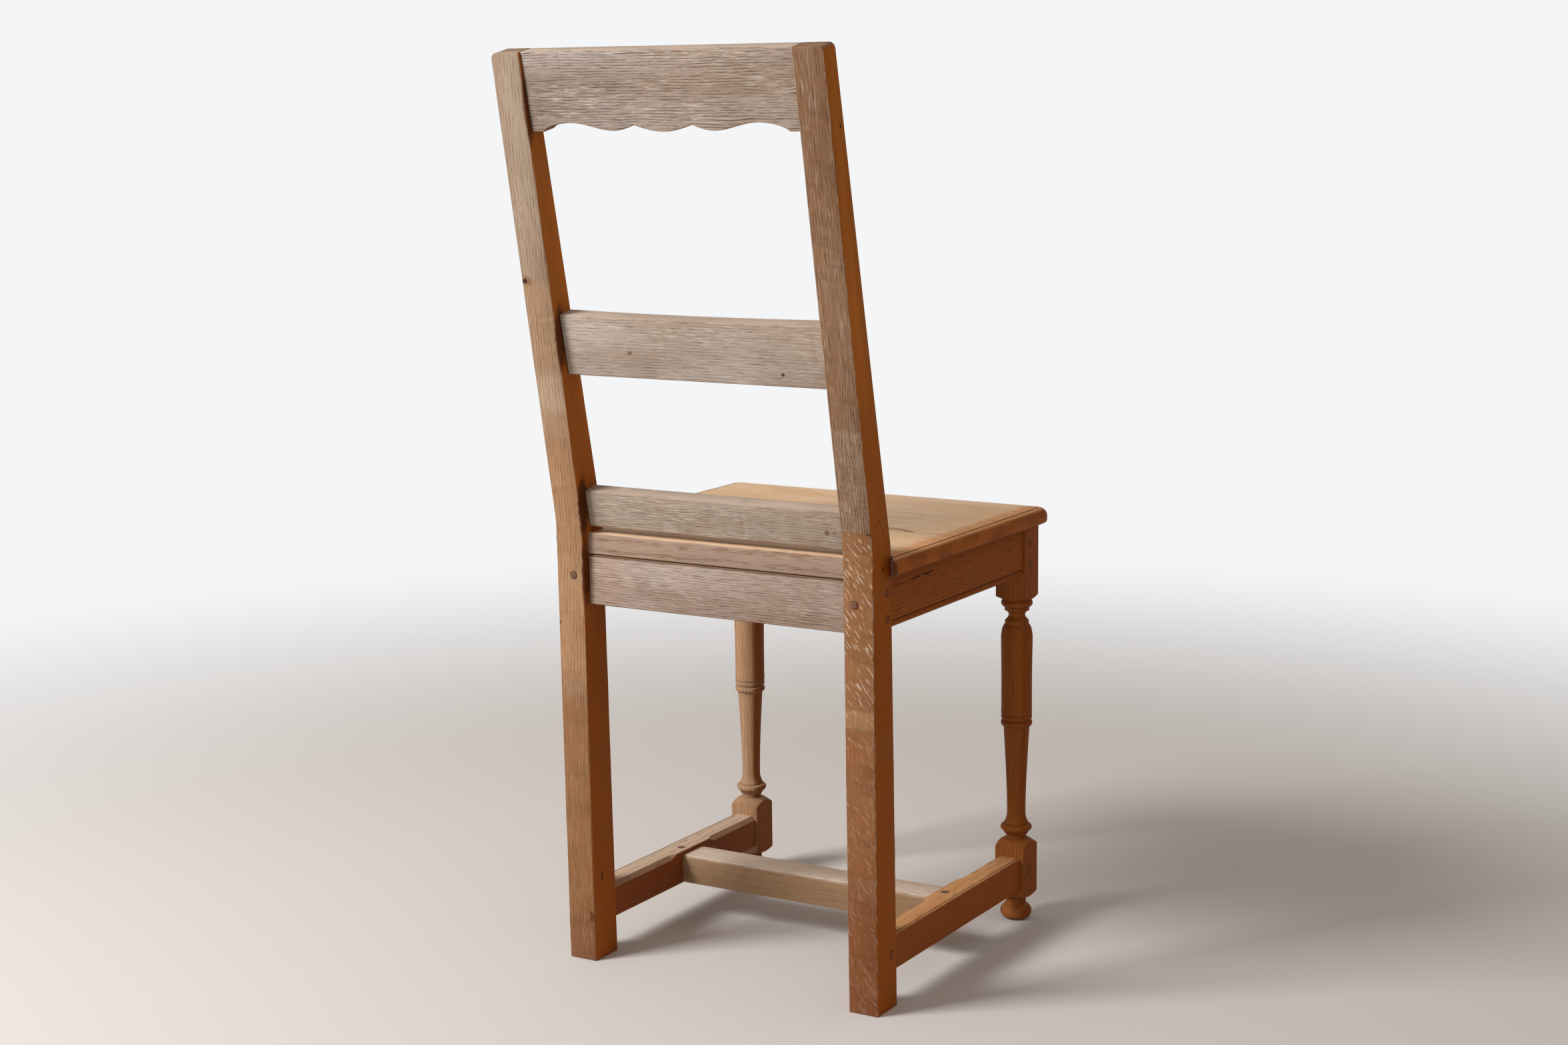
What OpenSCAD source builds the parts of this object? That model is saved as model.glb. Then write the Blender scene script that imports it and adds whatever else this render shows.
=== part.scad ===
// Farmhouse dining chair in solid oak: raked posts, three back rails, a moulded seat board,
// turned front legs and an H stretcher, put together with pegged mortise and tenon joints.
// +Z is up, the chair faces -Y, and the sitter's left is +X.
// The origin is on the floor, at the middle of the whole chair's box.

/* [Overall] */
// Height to the front edge of the post tops
overall_h = 950; // [800:1:1150]
// Height of the top of the seat
seat_h = 460; // [380:1:560]
// Width of the seat board across its moulded edges
seat_w = 402; // [330:1:540]
// Depth of the seat board from its moulded front edge to its square rear edge
seat_d = 364; // [300:1:500]

/* [Seat board] */
// Thickness of the seat board
seat_t = 22; // [19:0.5:30]
// How far the seat stands out past the front legs at each side
seat_over_side = 12.5; // [6:0.5:20]
// How far the seat stands out past the front legs in front
seat_over_front = 6; // [2:0.5:20]
// How far the seat's rear edge lies in front of the back of the rear legs
seat_rear_inset = 10; // [4:0.5:20]
// Radius of the top of the moulded edge
nose_top_r = 9; // [4:0.5:12]
// Radius of the lower lip of the moulded edge
nose_low_r = 3.5; // [2:0.5:6]
// Width of the bevel under the moulded edge
under_w = 15; // [8:0.5:15]
// Rise of that bevel for each millimetre of its width
under_slope = 0.45; // [0.1:0.05:0.5]
// Rounding of the seat's two front corners, seen from above
corner_r = 15; // [3:1:30]
// How far the seat's side edges run back along the rear legs
ear_overlap = 17; // [5:1:25]
// Width left at the tip of each ear, which is cut away slantwise beside the leg
ear_tip = 2.5; // [2:0.5:10]

/* [Rear legs] */
// Width of a rear leg, across the chair
rear_leg_w = 33; // [26:0.5:45]
// Depth of a rear leg at the floor
foot_depth = 40.5; // [32:0.5:50]
// Depth of a rear leg at its bend
bend_depth = 37.5; // [30:0.5:46]
// Thickness of a post at its top, square to its front face
post_top_t = 22.5; // [18:0.5:34]
// Lean of the posts' front face from upright, in degrees
post_lean = 11.9; // [5:0.1:18]
// Height of the bend above the top of the seat
bend_above_seat = 10; // [2:1:40]
// How far the rear foot stands in front of the back of the bend
foot_set_in = 5.5; // [0:0.5:12]
// Radius of the bend at the back of the leg
bend_r = 130; // [60:5:300]
// How far each rear leg stands in from its front leg's outer face
rear_leg_inset = 2; // [0:0.5:10]

/* [Back rails] */
// Thickness of the crest rail
crest_t = 19.5; // [15:0.5:24]
// Height of the crest rail at its flat ends, measured along the posts
crest_h = 78.5; // [60:0.5:110]
// Length of the flat at each end of the crest rail's lower edge
crest_flat = 14.5; // [6:0.5:30]
// Rise of the arch beside each flat
arch_rise = 8.6; // [4:0.2:16]
// Rise of the two points between the lobes
cusp_rise = 6.3; // [3:0.1:12]
// Distance of those points from the middle of the rail
cusp_x = 33; // [24:0.5:45]
// Distance of the side lobes' lowest points from the middle
lobe_x = 57; // [48:0.5:70]
// Distance of the arches' highest points from the middle
arch_x = 106; // [80:0.5:112]
// Rise of the side lobes' lowest points
lobe_rise = 0.9; // [0:0.1:2]
// Thickness of the middle and lower rails
rail_t = 20; // [15:0.5:24]
// Height of the middle rail
middle_h = 63; // [40:1:90]
// Distance along the posts from the bend to the middle rail's lower edge
middle_up = 164; // [120:1:190]
// How far the middle rail's front face lies behind the posts' front face
middle_set = 1; // [0:0.5:6]
// Height of the lower rail
lower_h = 39; // [25:1:60]
// Distance along the posts from the bend to the lower rail's lower edge
lower_up = 1; // [0:0.5:40]
// How far the lower rail's front face lies behind the posts' front face
lower_set = 4; // [0:0.5:8]

/* [Front legs] */
// Side of the square that each front leg is turned from
front_leg_s = 35; // [30:0.5:42]
// Length of the square block under the seat
upper_block_h = 77.5; // [66:0.5:94]
// Height of the lower edge of the stretcher block
low_block_z = 27; // [22:0.5:34]
// Height of the stretcher block
low_block_h = 62; // [50:0.5:76]
// Largest radius of the turning
turn_r = 17.2; // [13:0.1:17.4]

/* [Aprons] */
// Height from the rear apron's lower edge to the tops of the front legs
apron_h = 53; // [42:0.5:70]
// How far the beaded side and front aprons stop above the rear apron's lower edge
beaded_rise = 3.5; // [0:0.5:4]
// Thickness of the aprons
apron_t = 20; // [16:0.5:22]
// How far the front apron lies in from the front legs' front faces
apron_set = 10; // [9:0.5:11]
// How far the side aprons lie in from the front legs' outer faces
side_apron_set = 2.5; // [2.5:0.5:6]
// Open gap between the rear apron and the seat
rear_apron_gap = 1; // [0.5:0.1:3]
// Height of the bead along the aprons' lower edge
bead_h = 6.5; // [4:0.5:9]

/* [Stretchers] */
// Height of the underside of the side stretchers
stretch_z = 37.5; // [32:0.5:44]
// Height of a side stretcher's section
stretch_h = 36; // [28:0.5:40]
// Width of a side stretcher's section
stretch_w = 28; // [22:0.5:30]
// How far a side stretcher lies in from the front leg's outer face
stretch_set = 4.5; // [2.5:0.5:8]
// Chamfer on a side stretcher's inner top edge
stretch_chamfer = 4.5; // [2:0.5:7]
// Plain length left at each side of the cross joint
chamfer_stop = 13; // [6:1:30]
// Width of the cross stretcher, front to back
cross_w = 42; // [30:1:54]
// Height of the cross stretcher's section
cross_h = 31; // [22:0.5:32]
// Distance of the cross stretcher's middle behind the seat's front edge
cross_back = 174; // [140:1:230]

/* [Joints] */
// Thickness of the tenons
tenon_t = 8; // [6:0.5:9]
// Length of the tenons of the back rails
rail_tenon = 22; // [14:1:26]
// Length of the tenons of the side aprons and stretchers in the front legs
front_tenon = 23; // [18:0.5:26]
// Length of the tenons of the side aprons in the rear legs
side_rear_tenon = 14; // [10:0.5:15]
// Length of the tenons of the rear apron
rear_apron_tenon = 24; // [18:0.5:26]
// Length of the tenons of the stretchers in the rear legs and of the cross stretcher
stretch_tenon = 20; // [16:0.5:21]
// How far the rear apron's tenons lie in from its rear face
rear_apron_tenon_set = 3; // [2:0.5:4]
// How far the side aprons' tenons lie in from the front legs' outer faces
side_tenon_set = 12; // [10:0.5:13]
// Shoulder above and below each tenon
shoulder = 6; // [3:0.5:8]
// Clearance round each tenon in its mortise
fit_gap = 0.2; // [0.05:0.05:0.4]
// Diameter of the pegs
peg_d = 8; // [6:0.5:8.5]
// Clearance of a peg in its bore, across the diameter
peg_gap = 0.1; // [0.02:0.02:0.3]
// How far the worn peg ends stand proud
peg_proud = 0.3; // [0:0.1:1]
// Clearance of the seat board round the rear legs
seat_notch_gap = 0.6; // [0.2:0.1:2]

/* [Hidden] */

$fn = 48;
big = 2000;
left = 1;
right = -1;

// Heights
leg_top = seat_h - seat_t;
bend_z = seat_h + bend_above_seat;
apron_z = leg_top - apron_h;
beaded_z = apron_z + beaded_rise;
low_block_top = low_block_z + low_block_h;

// Places from front to back, measured from the back of the bend
seat_front = -(seat_rear_inset + seat_d);
front_leg_front = seat_front + seat_over_front;
front_leg_back = front_leg_front + front_leg_s;
front_leg_mid = front_leg_front + front_leg_s / 2;
bend_front = -bend_depth;

// Places across, from the middle to the left
front_leg_out = seat_w / 2 - seat_over_side;
front_leg_in = front_leg_out - front_leg_s;
front_leg_x = front_leg_out - front_leg_s / 2;
rear_leg_out = front_leg_out - rear_leg_inset;
rear_leg_in = rear_leg_out - rear_leg_w;
apron_out = front_leg_out - side_apron_set;
stretch_out = front_leg_out - stretch_set;
stretch_in = stretch_out - stretch_w;
stretch_top = stretch_z + stretch_h;
cross_y = seat_front + cross_back;
cross_top = stretch_top - stretch_chamfer;

// The posts: "up" runs along their front face from the bend, "through" runs square to it, backwards
post_len = (overall_h - bend_z) / cos(post_lean);
function post_point(up, through) =
    [bend_front + up * sin(post_lean) + through * cos(post_lean),
     bend_z + up * cos(post_lean) - through * sin(post_lean)];
top_back = post_point(post_len, post_top_t);

// The chair's middle from front to back, which the origin lies under
middle_y = (seat_front + top_back[0]) / 2;

// Front and back faces of a rear leg below the bend
function leg_front_y(z) = -foot_set_in - foot_depth
    + (bend_front + foot_set_in + foot_depth) * z / bend_z;
function leg_back_y(z) = -foot_set_in * (1 - z / bend_z);

// Centres of the tenons
apron_tenon_x = front_leg_out - side_tenon_set - tenon_t / 2;
front_apron_y = front_leg_front + apron_set;
front_apron_tenon_y = front_apron_y + apron_t / 2;
rear_apron_tenon_y = -seat_rear_inset - rear_apron_tenon_set - tenon_t / 2;
stretch_x = stretch_out - stretch_w / 2;
cross_tenon_z = cross_top - cross_h / 2;

// How far the pegs run past the tenons, and how far their bores run out past the surface
peg_past = 2.5;
side_peg_past = 1;
bore_out = 5;

// The front apron's tenons stop short of the pegs that come in from the sides
side_peg_end = apron_tenon_x - tenon_t / 2 - side_peg_past;
front_apron_tenon = side_peg_end - front_leg_in - side_peg_past;

// Centres of the pegs
peg_from_edge = 13.5;
apron_peg_z = [apron_z + peg_from_edge, leg_top - peg_from_edge];
side_front_peg_z = [apron_peg_z[0], apron_peg_z[1] - 3];
rear_apron_peg_z = apron_z + 31;
rear_apron_peg_x = rear_leg_in + 12.5;
side_rear_peg_y = bend_front + 7.5;
side_front_peg_y = front_leg_back - 14.5;
front_apron_peg_x = front_leg_in + 7;
stretch_peg_z = stretch_z + stretch_h / 2 + 1;
stretch_rear_peg_y = leg_front_y(stretch_peg_z) + 11;
stretch_front_peg_y = front_leg_back - 15;
cross_peg_x = stretch_in + 9.5;
cross_peg_y = cross_y + 9;

// Width and depth of the small grooves beside the mouldings
quirk_w = 1.2;
quirk_d = 1.3;
tiny = 0.1;
arc_steps = 8;

module placed() {
    translate([0, -middle_y, 0]) children();
}

module on_side(side) {
    mirror([side < 0 ? 1 : 0, 0, 0]) children();
}

// A block given by its lowest and highest corners
module block(low, high) {
    translate(low) cube(high - low);
}

// A rod between two ends along one axis
module rod_x(x0, x1, y, z, d) {
    translate([min(x0, x1), y, z]) rotate([0, 90, 0]) cylinder(d = d, h = abs(x1 - x0));
}

module rod_y(y0, y1, x, z, d) {
    translate([x, max(y0, y1), z]) rotate([90, 0, 0]) cylinder(d = d, h = abs(y1 - y0));
}

module rod_z(z0, z1, x, y, d) {
    translate([x, y, min(z0, z1)]) cylinder(d = d, h = abs(z1 - z0));
}

// A shape drawn front to back and up, run across the chair from x0 to x1
module run_across(x0, x1) {
    translate([x0, 0, 0]) rotate([90, 0, 90]) linear_extrude(x1 - x0) children();
}

// A shape drawn across and up, run from the front, y0, to the back, y1
module run_back(y0, y1) {
    translate([0, y1, 0]) rotate([90, 0, 0]) linear_extrude(y1 - y0) children();
}

// A block in the posts' slanted frame
module post_block(x0, x1, up0, up1, through0, through1) {
    run_across(x0, x1)
        polygon([post_point(up0, through0), post_point(up0, through1),
                 post_point(up1, through1), post_point(up1, through0)]);
}

function arc(cx, cy, r, a0, a1) =
    [for (i = [0:arc_steps]) let (a = a0 + (a1 - a0) * i / arc_steps)
        [cx + r * cos(a), cy + r * sin(a)]];

// ---- tenons, which the mortises repeat with the clearance added ----

// A back rail's two tenons, across the whole back
module rail_tenons(up0, up1, through_mid, gap) {
    reach = rear_leg_in + rail_tenon + gap;
    post_block(-reach, reach, up0 + shoulder - gap, up1 - shoulder + gap,
               through_mid - tenon_t / 2 - gap, through_mid + tenon_t / 2 + gap);
}

module crest_tenons(gap) {
    rail_tenons(post_len - crest_h + shoulder, post_len - shoulder, crest_t / 2, gap);
}

module middle_tenons(gap) {
    rail_tenons(middle_up, middle_up + middle_h, middle_set + rail_t / 2, gap);
}

module lower_tenons(gap) {
    rail_tenons(lower_up, lower_up + lower_h, lower_set + rail_t / 2, gap);
}

module rear_apron_tenons(gap) {
    reach = rear_leg_in + rear_apron_tenon + gap;
    block([-reach, rear_apron_tenon_y - tenon_t / 2 - gap, apron_z + shoulder - gap],
          [reach, rear_apron_tenon_y + tenon_t / 2 + gap, leg_top - rear_apron_gap - shoulder + gap]);
}

module front_apron_tenons(gap) {
    reach = front_leg_in + front_apron_tenon + gap;
    block([-reach, front_apron_tenon_y - tenon_t / 2 - gap, apron_z + shoulder - gap],
          [reach, front_apron_tenon_y + tenon_t / 2 + gap, leg_top - shoulder + gap]);
}

// The tenons of the left side apron, front and rear
module side_apron_tenons(gap) {
    block([apron_tenon_x - tenon_t / 2 - gap, front_leg_back - front_tenon - gap,
           apron_z + shoulder - gap],
          [apron_tenon_x + tenon_t / 2 + gap,
           leg_front_y(leg_top) + side_rear_tenon + gap, leg_top - shoulder + gap]);
}

// The tenons of the left side stretcher, front and rear
module side_stretcher_tenons(gap) {
    block([stretch_x - tenon_t / 2 - gap, front_leg_back - front_tenon - gap,
           stretch_z + shoulder - gap],
          [stretch_x + tenon_t / 2 + gap, leg_front_y(stretch_z) + stretch_tenon + gap,
           stretch_top - shoulder + gap]);
}

module cross_tenons(gap) {
    reach = stretch_in + stretch_tenon + gap;
    block([-reach, cross_y - cross_w / 2 + shoulder - gap, cross_tenon_z - tenon_t / 2 - gap],
          [reach, cross_y + cross_w / 2 - shoulder + gap, cross_tenon_z + tenon_t / 2 + gap]);
}

// ---- pegs on the left side, which the bores repeat with the clearance added ----

module rear_apron_peg(d, proud) {
    rod_y(rear_apron_tenon_y - tenon_t / 2 - peg_past, proud, rear_apron_peg_x, rear_apron_peg_z, d);
}

module side_apron_rear_peg_pair(d, proud) {
    for (z = apron_peg_z)
        rod_x(side_peg_end, rear_leg_out + proud, side_rear_peg_y, z, d);
}

module side_apron_front_peg_pair(d, proud) {
    for (z = side_front_peg_z)
        rod_x(side_peg_end, front_leg_out + proud, side_front_peg_y, z, d);
}

module front_apron_peg_pair(d, proud) {
    for (z = apron_peg_z)
        rod_y(front_leg_front - proud, front_apron_tenon_y + tenon_t / 2 + peg_past,
              front_apron_peg_x, z, d);
}

module stretcher_rear_peg(d, proud) {
    rod_x(stretch_x - tenon_t / 2 - peg_past, rear_leg_out + proud, stretch_rear_peg_y, stretch_peg_z, d);
}

module stretcher_front_peg(d, proud) {
    rod_x(stretch_x - tenon_t / 2 - peg_past, front_leg_out + proud, stretch_front_peg_y,
          stretch_peg_z, d);
}

module cross_stretcher_peg(d, proud) {
    rod_z(cross_tenon_z - tenon_t / 2 - peg_past, stretch_top + proud, cross_peg_x, cross_peg_y, d);
}

// ---- rear legs ----

back_lean = atan(top_back[0] / (top_back[1] - bend_z));
bend_reach = bend_r * tan(back_lean / 2);

// The side outline, with a round bend at the back
module rear_leg_outline() {
    polygon(concat(
        [[-foot_set_in - foot_depth, 0], [-foot_set_in, 0]],
        arc(bend_r, bend_z - bend_reach, bend_r, 180, 180 - back_lean),
        [top_back, post_point(post_len, 0), [bend_front, bend_z]]));
}

// Everything from a rear leg's front face backwards, below the bend
module behind_leg_front() {
    polygon([[leg_front_y(0), 0], [bend_front, bend_z], [big, bend_z], [big, 0]]);
}

module rear_leg(side) {
    placed() on_side(side) color("tan") difference() {
        run_across(rear_leg_in, rear_leg_out) rear_leg_outline();
        crest_tenons(fit_gap);
        middle_tenons(fit_gap);
        lower_tenons(fit_gap);
        rear_apron_tenons(fit_gap);
        side_apron_tenons(fit_gap);
        side_stretcher_tenons(fit_gap);
        rear_apron_peg(peg_d + peg_gap, bore_out);
        side_apron_rear_peg_pair(peg_d + peg_gap, bore_out);
        stretcher_rear_peg(peg_d + peg_gap, bore_out);
    }
}

// ---- front legs, turned from a square blank ----

// Radius of the turning where it clears the square blank's corners
clear_r = 0.72 * front_leg_s;
turn_low = low_block_top;
turn_high = leg_top - upper_block_h;
column_low = turn_low + 33;
column_high = turn_high - 148.7;

// Each group below is a list of [radius, height] points, from the floor upwards.
// The bun foot and its neck
foot_turning = concat(
    [[0, 0]],
    [for (a = [-54:18:54]) [turn_r * pow(cos(a), 0.8), 8.5 + 10.5 * sin(a)]],
    [[turn_r - 6.4, 20], [turn_r - 6, 24], [turn_r - 0.2, low_block_z]]);

// The stretcher block's two turned shoulders
block_turning = [
    [clear_r, low_block_z + 3], [clear_r, turn_low - 5.5],
    [turn_r + 0.5, turn_low], [turn_r - 3, turn_low + 2.1], [turn_r - 6.9, turn_low + 3.3]];

// The fillet, ovolo and flare above the stretcher block
low_turning = [for (p = [[6.9, 4], [6.2, 4.2], [6.2, 6.6], [6.9, 7], [5.2, 7.4], [3.4, 10.3],
                         [1.2, 12.6], [0, 14.8], [0.5, 17], [2.2, 18.6], [4.2, 19.2],
                         [3.7, 19.8], [4.8, 22], [6, 25], [6.9, 28.5]])
    [turn_r - p[0], turn_low + p[1]]];

// The column, which swells towards the two rings
column_turning = [for (i = [0:6]) let (t = i / 6)
    [turn_r - 7.2 + 4 * pow(t, 1.6), column_low + (column_high - column_low) * t]];

// The two rings and the shaft above them
ring_turning = [for (p = [[0.1, -148.5], [0, -148], [0, -139.8], [0.3, -139.2], [1.5, -138.8],
                          [1.5, -138], [0.2, -137.5], [0, -137], [0, -132], [0.3, -131.5],
                          [1.6, -131], [1.6, -130.3], [0.6, -129.7], [0.5, -90], [0, -48],
                          [0, -41], [0.7, -36], [1.9, -31.5], [3.2, -29.2], [4.5, -28]])
    [turn_r - p[0], turn_high + p[1]]];

// The bead, cove, fillet and ovolo under the seat block
top_turning = [for (p = [[4.4, -27.2], [4.1, -25.9], [4.3, -24.3], [5.8, -22.6], [7.3, -20.9],
                         [8.2, -19], [8.3, -17.6], [7.8, -16], [6.7, -14.6], [5.5, -13.6],
                         [3.8, -12.9], [3.8, -9.9], [3, -9.2], [1.1, -7.5], [0.1, -5.5],
                         [0.3, -3.2], [1.6, -1.5], [1.6, -0.2]])
    [turn_r - p[0], turn_high + p[1]]];

module leg_turning() {
    polygon(concat(foot_turning, block_turning, low_turning, column_turning, ring_turning,
        top_turning,
        [[turn_r + 0.4, turn_high + 0.3], [clear_r, turn_high + 3.8], [clear_r, seat_h],
         [0, seat_h]]));
}

// The section under the bevel that runs round the seat's edge
module bevel_wedge(edge) {
    polygon([[edge - under_w, leg_top - 1], [edge + under_w, leg_top - 1],
             [edge + under_w, leg_top + 2 * under_w * under_slope], [edge - under_w, leg_top]]);
}

// Everything below the seat board, up into its bevels
module under_seat() {
    block([-big, -big, -1], [big, big, leg_top]);
    for (side = [left, right]) on_side(side) run_back(-big, big) bevel_wedge(seat_w / 2);
    run_across(-big, big) mirror([1, 0]) bevel_wedge(-seat_front);
}

module front_leg(side) {
    placed() on_side(side) color("peru") difference() {
        intersection() {
            translate([front_leg_x, front_leg_mid, 0]) intersection() {
                translate([-front_leg_s / 2, -front_leg_s / 2, 0])
                    cube([front_leg_s, front_leg_s, seat_h]);
                rotate_extrude() leg_turning();
            }
            under_seat();
        }
        front_apron_tenons(fit_gap);
        side_apron_tenons(fit_gap);
        side_stretcher_tenons(fit_gap);
        front_apron_peg_pair(peg_d + peg_gap, bore_out);
        side_apron_front_peg_pair(peg_d + peg_gap, bore_out);
        stretcher_front_peg(peg_d + peg_gap, bore_out);
    }
}

// ---- back rails ----

// The shaped lower edge of the crest rail: rise against distance from the middle, on one side
crest_end = rear_leg_in - crest_flat;
edge_steps = 10;
function ease(t) = (1 - cos(180 * t)) / 2;
function centre_lobe(t) = [cusp_x * t, cusp_rise * (1 - cos(90 * t))];
function side_lobe(t) = [cusp_x + (lobe_x - cusp_x) * t,
                         lobe_rise + (cusp_rise - lobe_rise) * (1 - sin(90 * t))];
function ogee(t) = [lobe_x + (arch_x - lobe_x) * t, lobe_rise + (arch_rise - lobe_rise) * ease(t)];
function end_arch(t) = [arch_x + (crest_end - arch_x) * t, arch_rise * pow(1 - t * t, 0.75)];
half_edge = concat(
    [for (i = [0:edge_steps]) centre_lobe(i / edge_steps)],
    [for (i = [1:edge_steps]) side_lobe(i / edge_steps)],
    [for (i = [1:edge_steps]) ogee(i / edge_steps)],
    [for (i = [1:edge_steps]) end_arch(i / edge_steps)]);

module crest_outline() {
    last = len(half_edge) - 1;
    polygon(concat(
        [[-rear_leg_in, 0]],
        [for (i = [last:-1:1]) [-half_edge[i][0], half_edge[i][1]]],
        half_edge,
        [[rear_leg_in, 0], [rear_leg_in, crest_h], [-rear_leg_in, crest_h]]));
}

module crest_rail() {
    low = post_point(post_len - crest_h, 0);
    placed() color("tan") {
        translate([0, low[0], low[1]]) rotate([90 - post_lean, 0, 0])
            translate([0, 0, -crest_t]) linear_extrude(crest_t) crest_outline();
        crest_tenons(0);
    }
}

module plain_rail(up, height, set) {
    post_block(-rear_leg_in, rear_leg_in, up, up + height, set, set + rail_t);
}

module middle_rail() {
    placed() color("burlywood") {
        plain_rail(middle_up, middle_h, middle_set);
        middle_tenons(0);
    }
}

module lower_rail() {
    placed() color("burlywood") {
        plain_rail(lower_up, lower_h, lower_set);
        lower_tenons(0);
    }
}

// ---- seat board ----

// One moulded edge that ends at 0 and faces +: a quirk, a round top and a rounder underside
under_angle = atan(under_slope);
function nose(edge) = concat(
    [[edge - under_w, leg_top]],
    arc(edge - nose_low_r,
        leg_top + under_slope * (under_w - nose_low_r) + nose_low_r / cos(under_angle),
        nose_low_r, under_angle - 90, 0),
    arc(edge - nose_top_r, seat_h - nose_top_r, nose_top_r, 0, 90),
    [[edge - nose_top_r - tiny, seat_h - quirk_d],
     [edge - nose_top_r - quirk_w, seat_h - quirk_d],
     [edge - nose_top_r - quirk_w, seat_h]]);

module seat_board() {
    edge = seat_w / 2;
    inner = rear_leg_in - seat_notch_gap;
    outer = rear_leg_out + seat_notch_gap;
    front_of_leg = leg_front_y(leg_top) - seat_notch_gap;
    ear_end = bend_front + ear_overlap;
    nose_left = nose(edge);
    nose_front = nose(-seat_front);
    placed() color("sandybrown") difference() {
        intersection() {
            run_back(seat_front, -seat_rear_inset)
                polygon(concat(nose_left,
                    [for (i = [len(nose_left) - 1:-1:0]) [-nose_left[i][0], nose_left[i][1]]]));
            run_across(-edge, edge)
                polygon(concat([[-seat_rear_inset, seat_h], [-seat_rear_inset, leg_top]],
                    [for (p = nose_front) [-p[0], p[1]]]));
            translate([0, 0, leg_top]) linear_extrude(seat_t) union() {
                for (side = [left, right])
                    translate([side * (edge - corner_r), seat_front + corner_r]) circle(r = corner_r);
                translate([-edge + corner_r, seat_front])
                    square([seat_w - 2 * corner_r, corner_r * 2]);
                translate([-edge, seat_front + corner_r]) square([seat_w, seat_d - corner_r]);
            }
        }
        for (side = [left, right]) on_side(side) {
            block([inner, front_of_leg, 0], [outer, big, big]);
            block([inner, ear_end, 0], [big, big, big]);
            linear_extrude(big)
                polygon([[inner, front_of_leg], [outer, front_of_leg], [edge - ear_tip, ear_end],
                         [edge - ear_tip, big], [inner, big]]);
        }
    }
}

// ---- aprons ----

// The section of a beaded apron: its outer face is at 0 and its body runs to -apron_t
module apron_section() {
    bead_r = bead_h / 2;
    polygon(concat(
        [[-apron_t, leg_top], [-apron_t, beaded_z], [-bead_r, beaded_z]],
        arc(-bead_r, beaded_z + bead_r, bead_r, -80, 60),
        [[-quirk_d, beaded_z + bead_h], [-quirk_d, beaded_z + bead_h + quirk_w],
         [0, beaded_z + bead_h + quirk_w], [0, leg_top]]));
}

module rear_apron() {
    placed() color("burlywood") difference() {
        union() {
            block([-rear_leg_in, -seat_rear_inset - apron_t, apron_z],
                  [rear_leg_in, -seat_rear_inset, leg_top - rear_apron_gap]);
            rear_apron_tenons(0);
        }
        for (side = [left, right]) on_side(side) rear_apron_peg(peg_d + peg_gap, bore_out);
    }
}

module front_apron() {
    placed() color("peru") difference() {
        union() {
            run_across(-front_leg_in, front_leg_in)
                translate([front_apron_y, 0]) mirror([1, 0]) apron_section();
            front_apron_tenons(0);
        }
        for (side = [left, right]) on_side(side) front_apron_peg_pair(peg_d + peg_gap, bore_out);
    }
}

module side_apron(side) {
    placed() on_side(side) color("peru") difference() {
        union() {
            difference() {
                translate([apron_out, 0, 0]) run_back(front_leg_back, 0) apron_section();
                run_across(0, seat_w) behind_leg_front();
            }
            side_apron_tenons(0);
        }
        side_apron_rear_peg_pair(peg_d + peg_gap, bore_out);
        side_apron_front_peg_pair(peg_d + peg_gap, bore_out);
    }
}

// ---- stretchers ----

// The section of a side stretcher: its outer face is at 0, with a rounded, quirked top edge
module stretcher_section() {
    edge_r = 2.6;
    groove_w = 0.8;
    groove_d = 0.9;
    polygon(concat(
        [[-stretch_w, stretch_z], [0, stretch_z]],
        arc(-edge_r, stretch_top - edge_r, edge_r, 0, 90),
        [[-edge_r - tiny, stretch_top - groove_d], [-edge_r - groove_w, stretch_top - groove_d],
         [-edge_r - groove_w, stretch_top], [-stretch_w, stretch_top]]));
}

module inner_chamfer(y0, y1) {
    run_back(y0, y1)
        polygon([[stretch_in - 1, stretch_top + 1], [stretch_in - 1, stretch_top - stretch_chamfer - 1],
                 [stretch_in + stretch_chamfer + 1, stretch_top + 1]]);
}

module side_stretcher(side) {
    placed() on_side(side) color("peru") difference() {
        union() {
            difference() {
                translate([stretch_out, 0, 0]) run_back(front_leg_back, 0) stretcher_section();
                run_across(0, seat_w) behind_leg_front();
                inner_chamfer(front_leg_back, cross_y - cross_w / 2 - chamfer_stop);
                inner_chamfer(cross_y + cross_w / 2 + chamfer_stop, 0);
            }
            side_stretcher_tenons(0);
        }
        cross_tenons(fit_gap);
        stretcher_rear_peg(peg_d + peg_gap, bore_out);
        stretcher_front_peg(peg_d + peg_gap, bore_out);
        cross_stretcher_peg(peg_d + peg_gap, bore_out);
    }
}

module cross_stretcher() {
    arris = 2;
    half = cross_w / 2;
    low = cross_top - cross_h;
    placed() color("burlywood") difference() {
        union() {
            run_across(-stretch_in, stretch_in)
                polygon([[cross_y - half, low], [cross_y + half, low],
                         [cross_y + half, cross_top - arris], [cross_y + half - arris, cross_top],
                         [cross_y - half + arris, cross_top], [cross_y - half, cross_top - arris]]);
            cross_tenons(0);
        }
        for (side = [left, right]) on_side(side) cross_stretcher_peg(peg_d + peg_gap, bore_out);
    }
}

// ---- pegs, a pair or a four in each node ----

module both_sides() {
    placed() color("saddlebrown") for (side = [left, right]) on_side(side) children();
}

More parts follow.
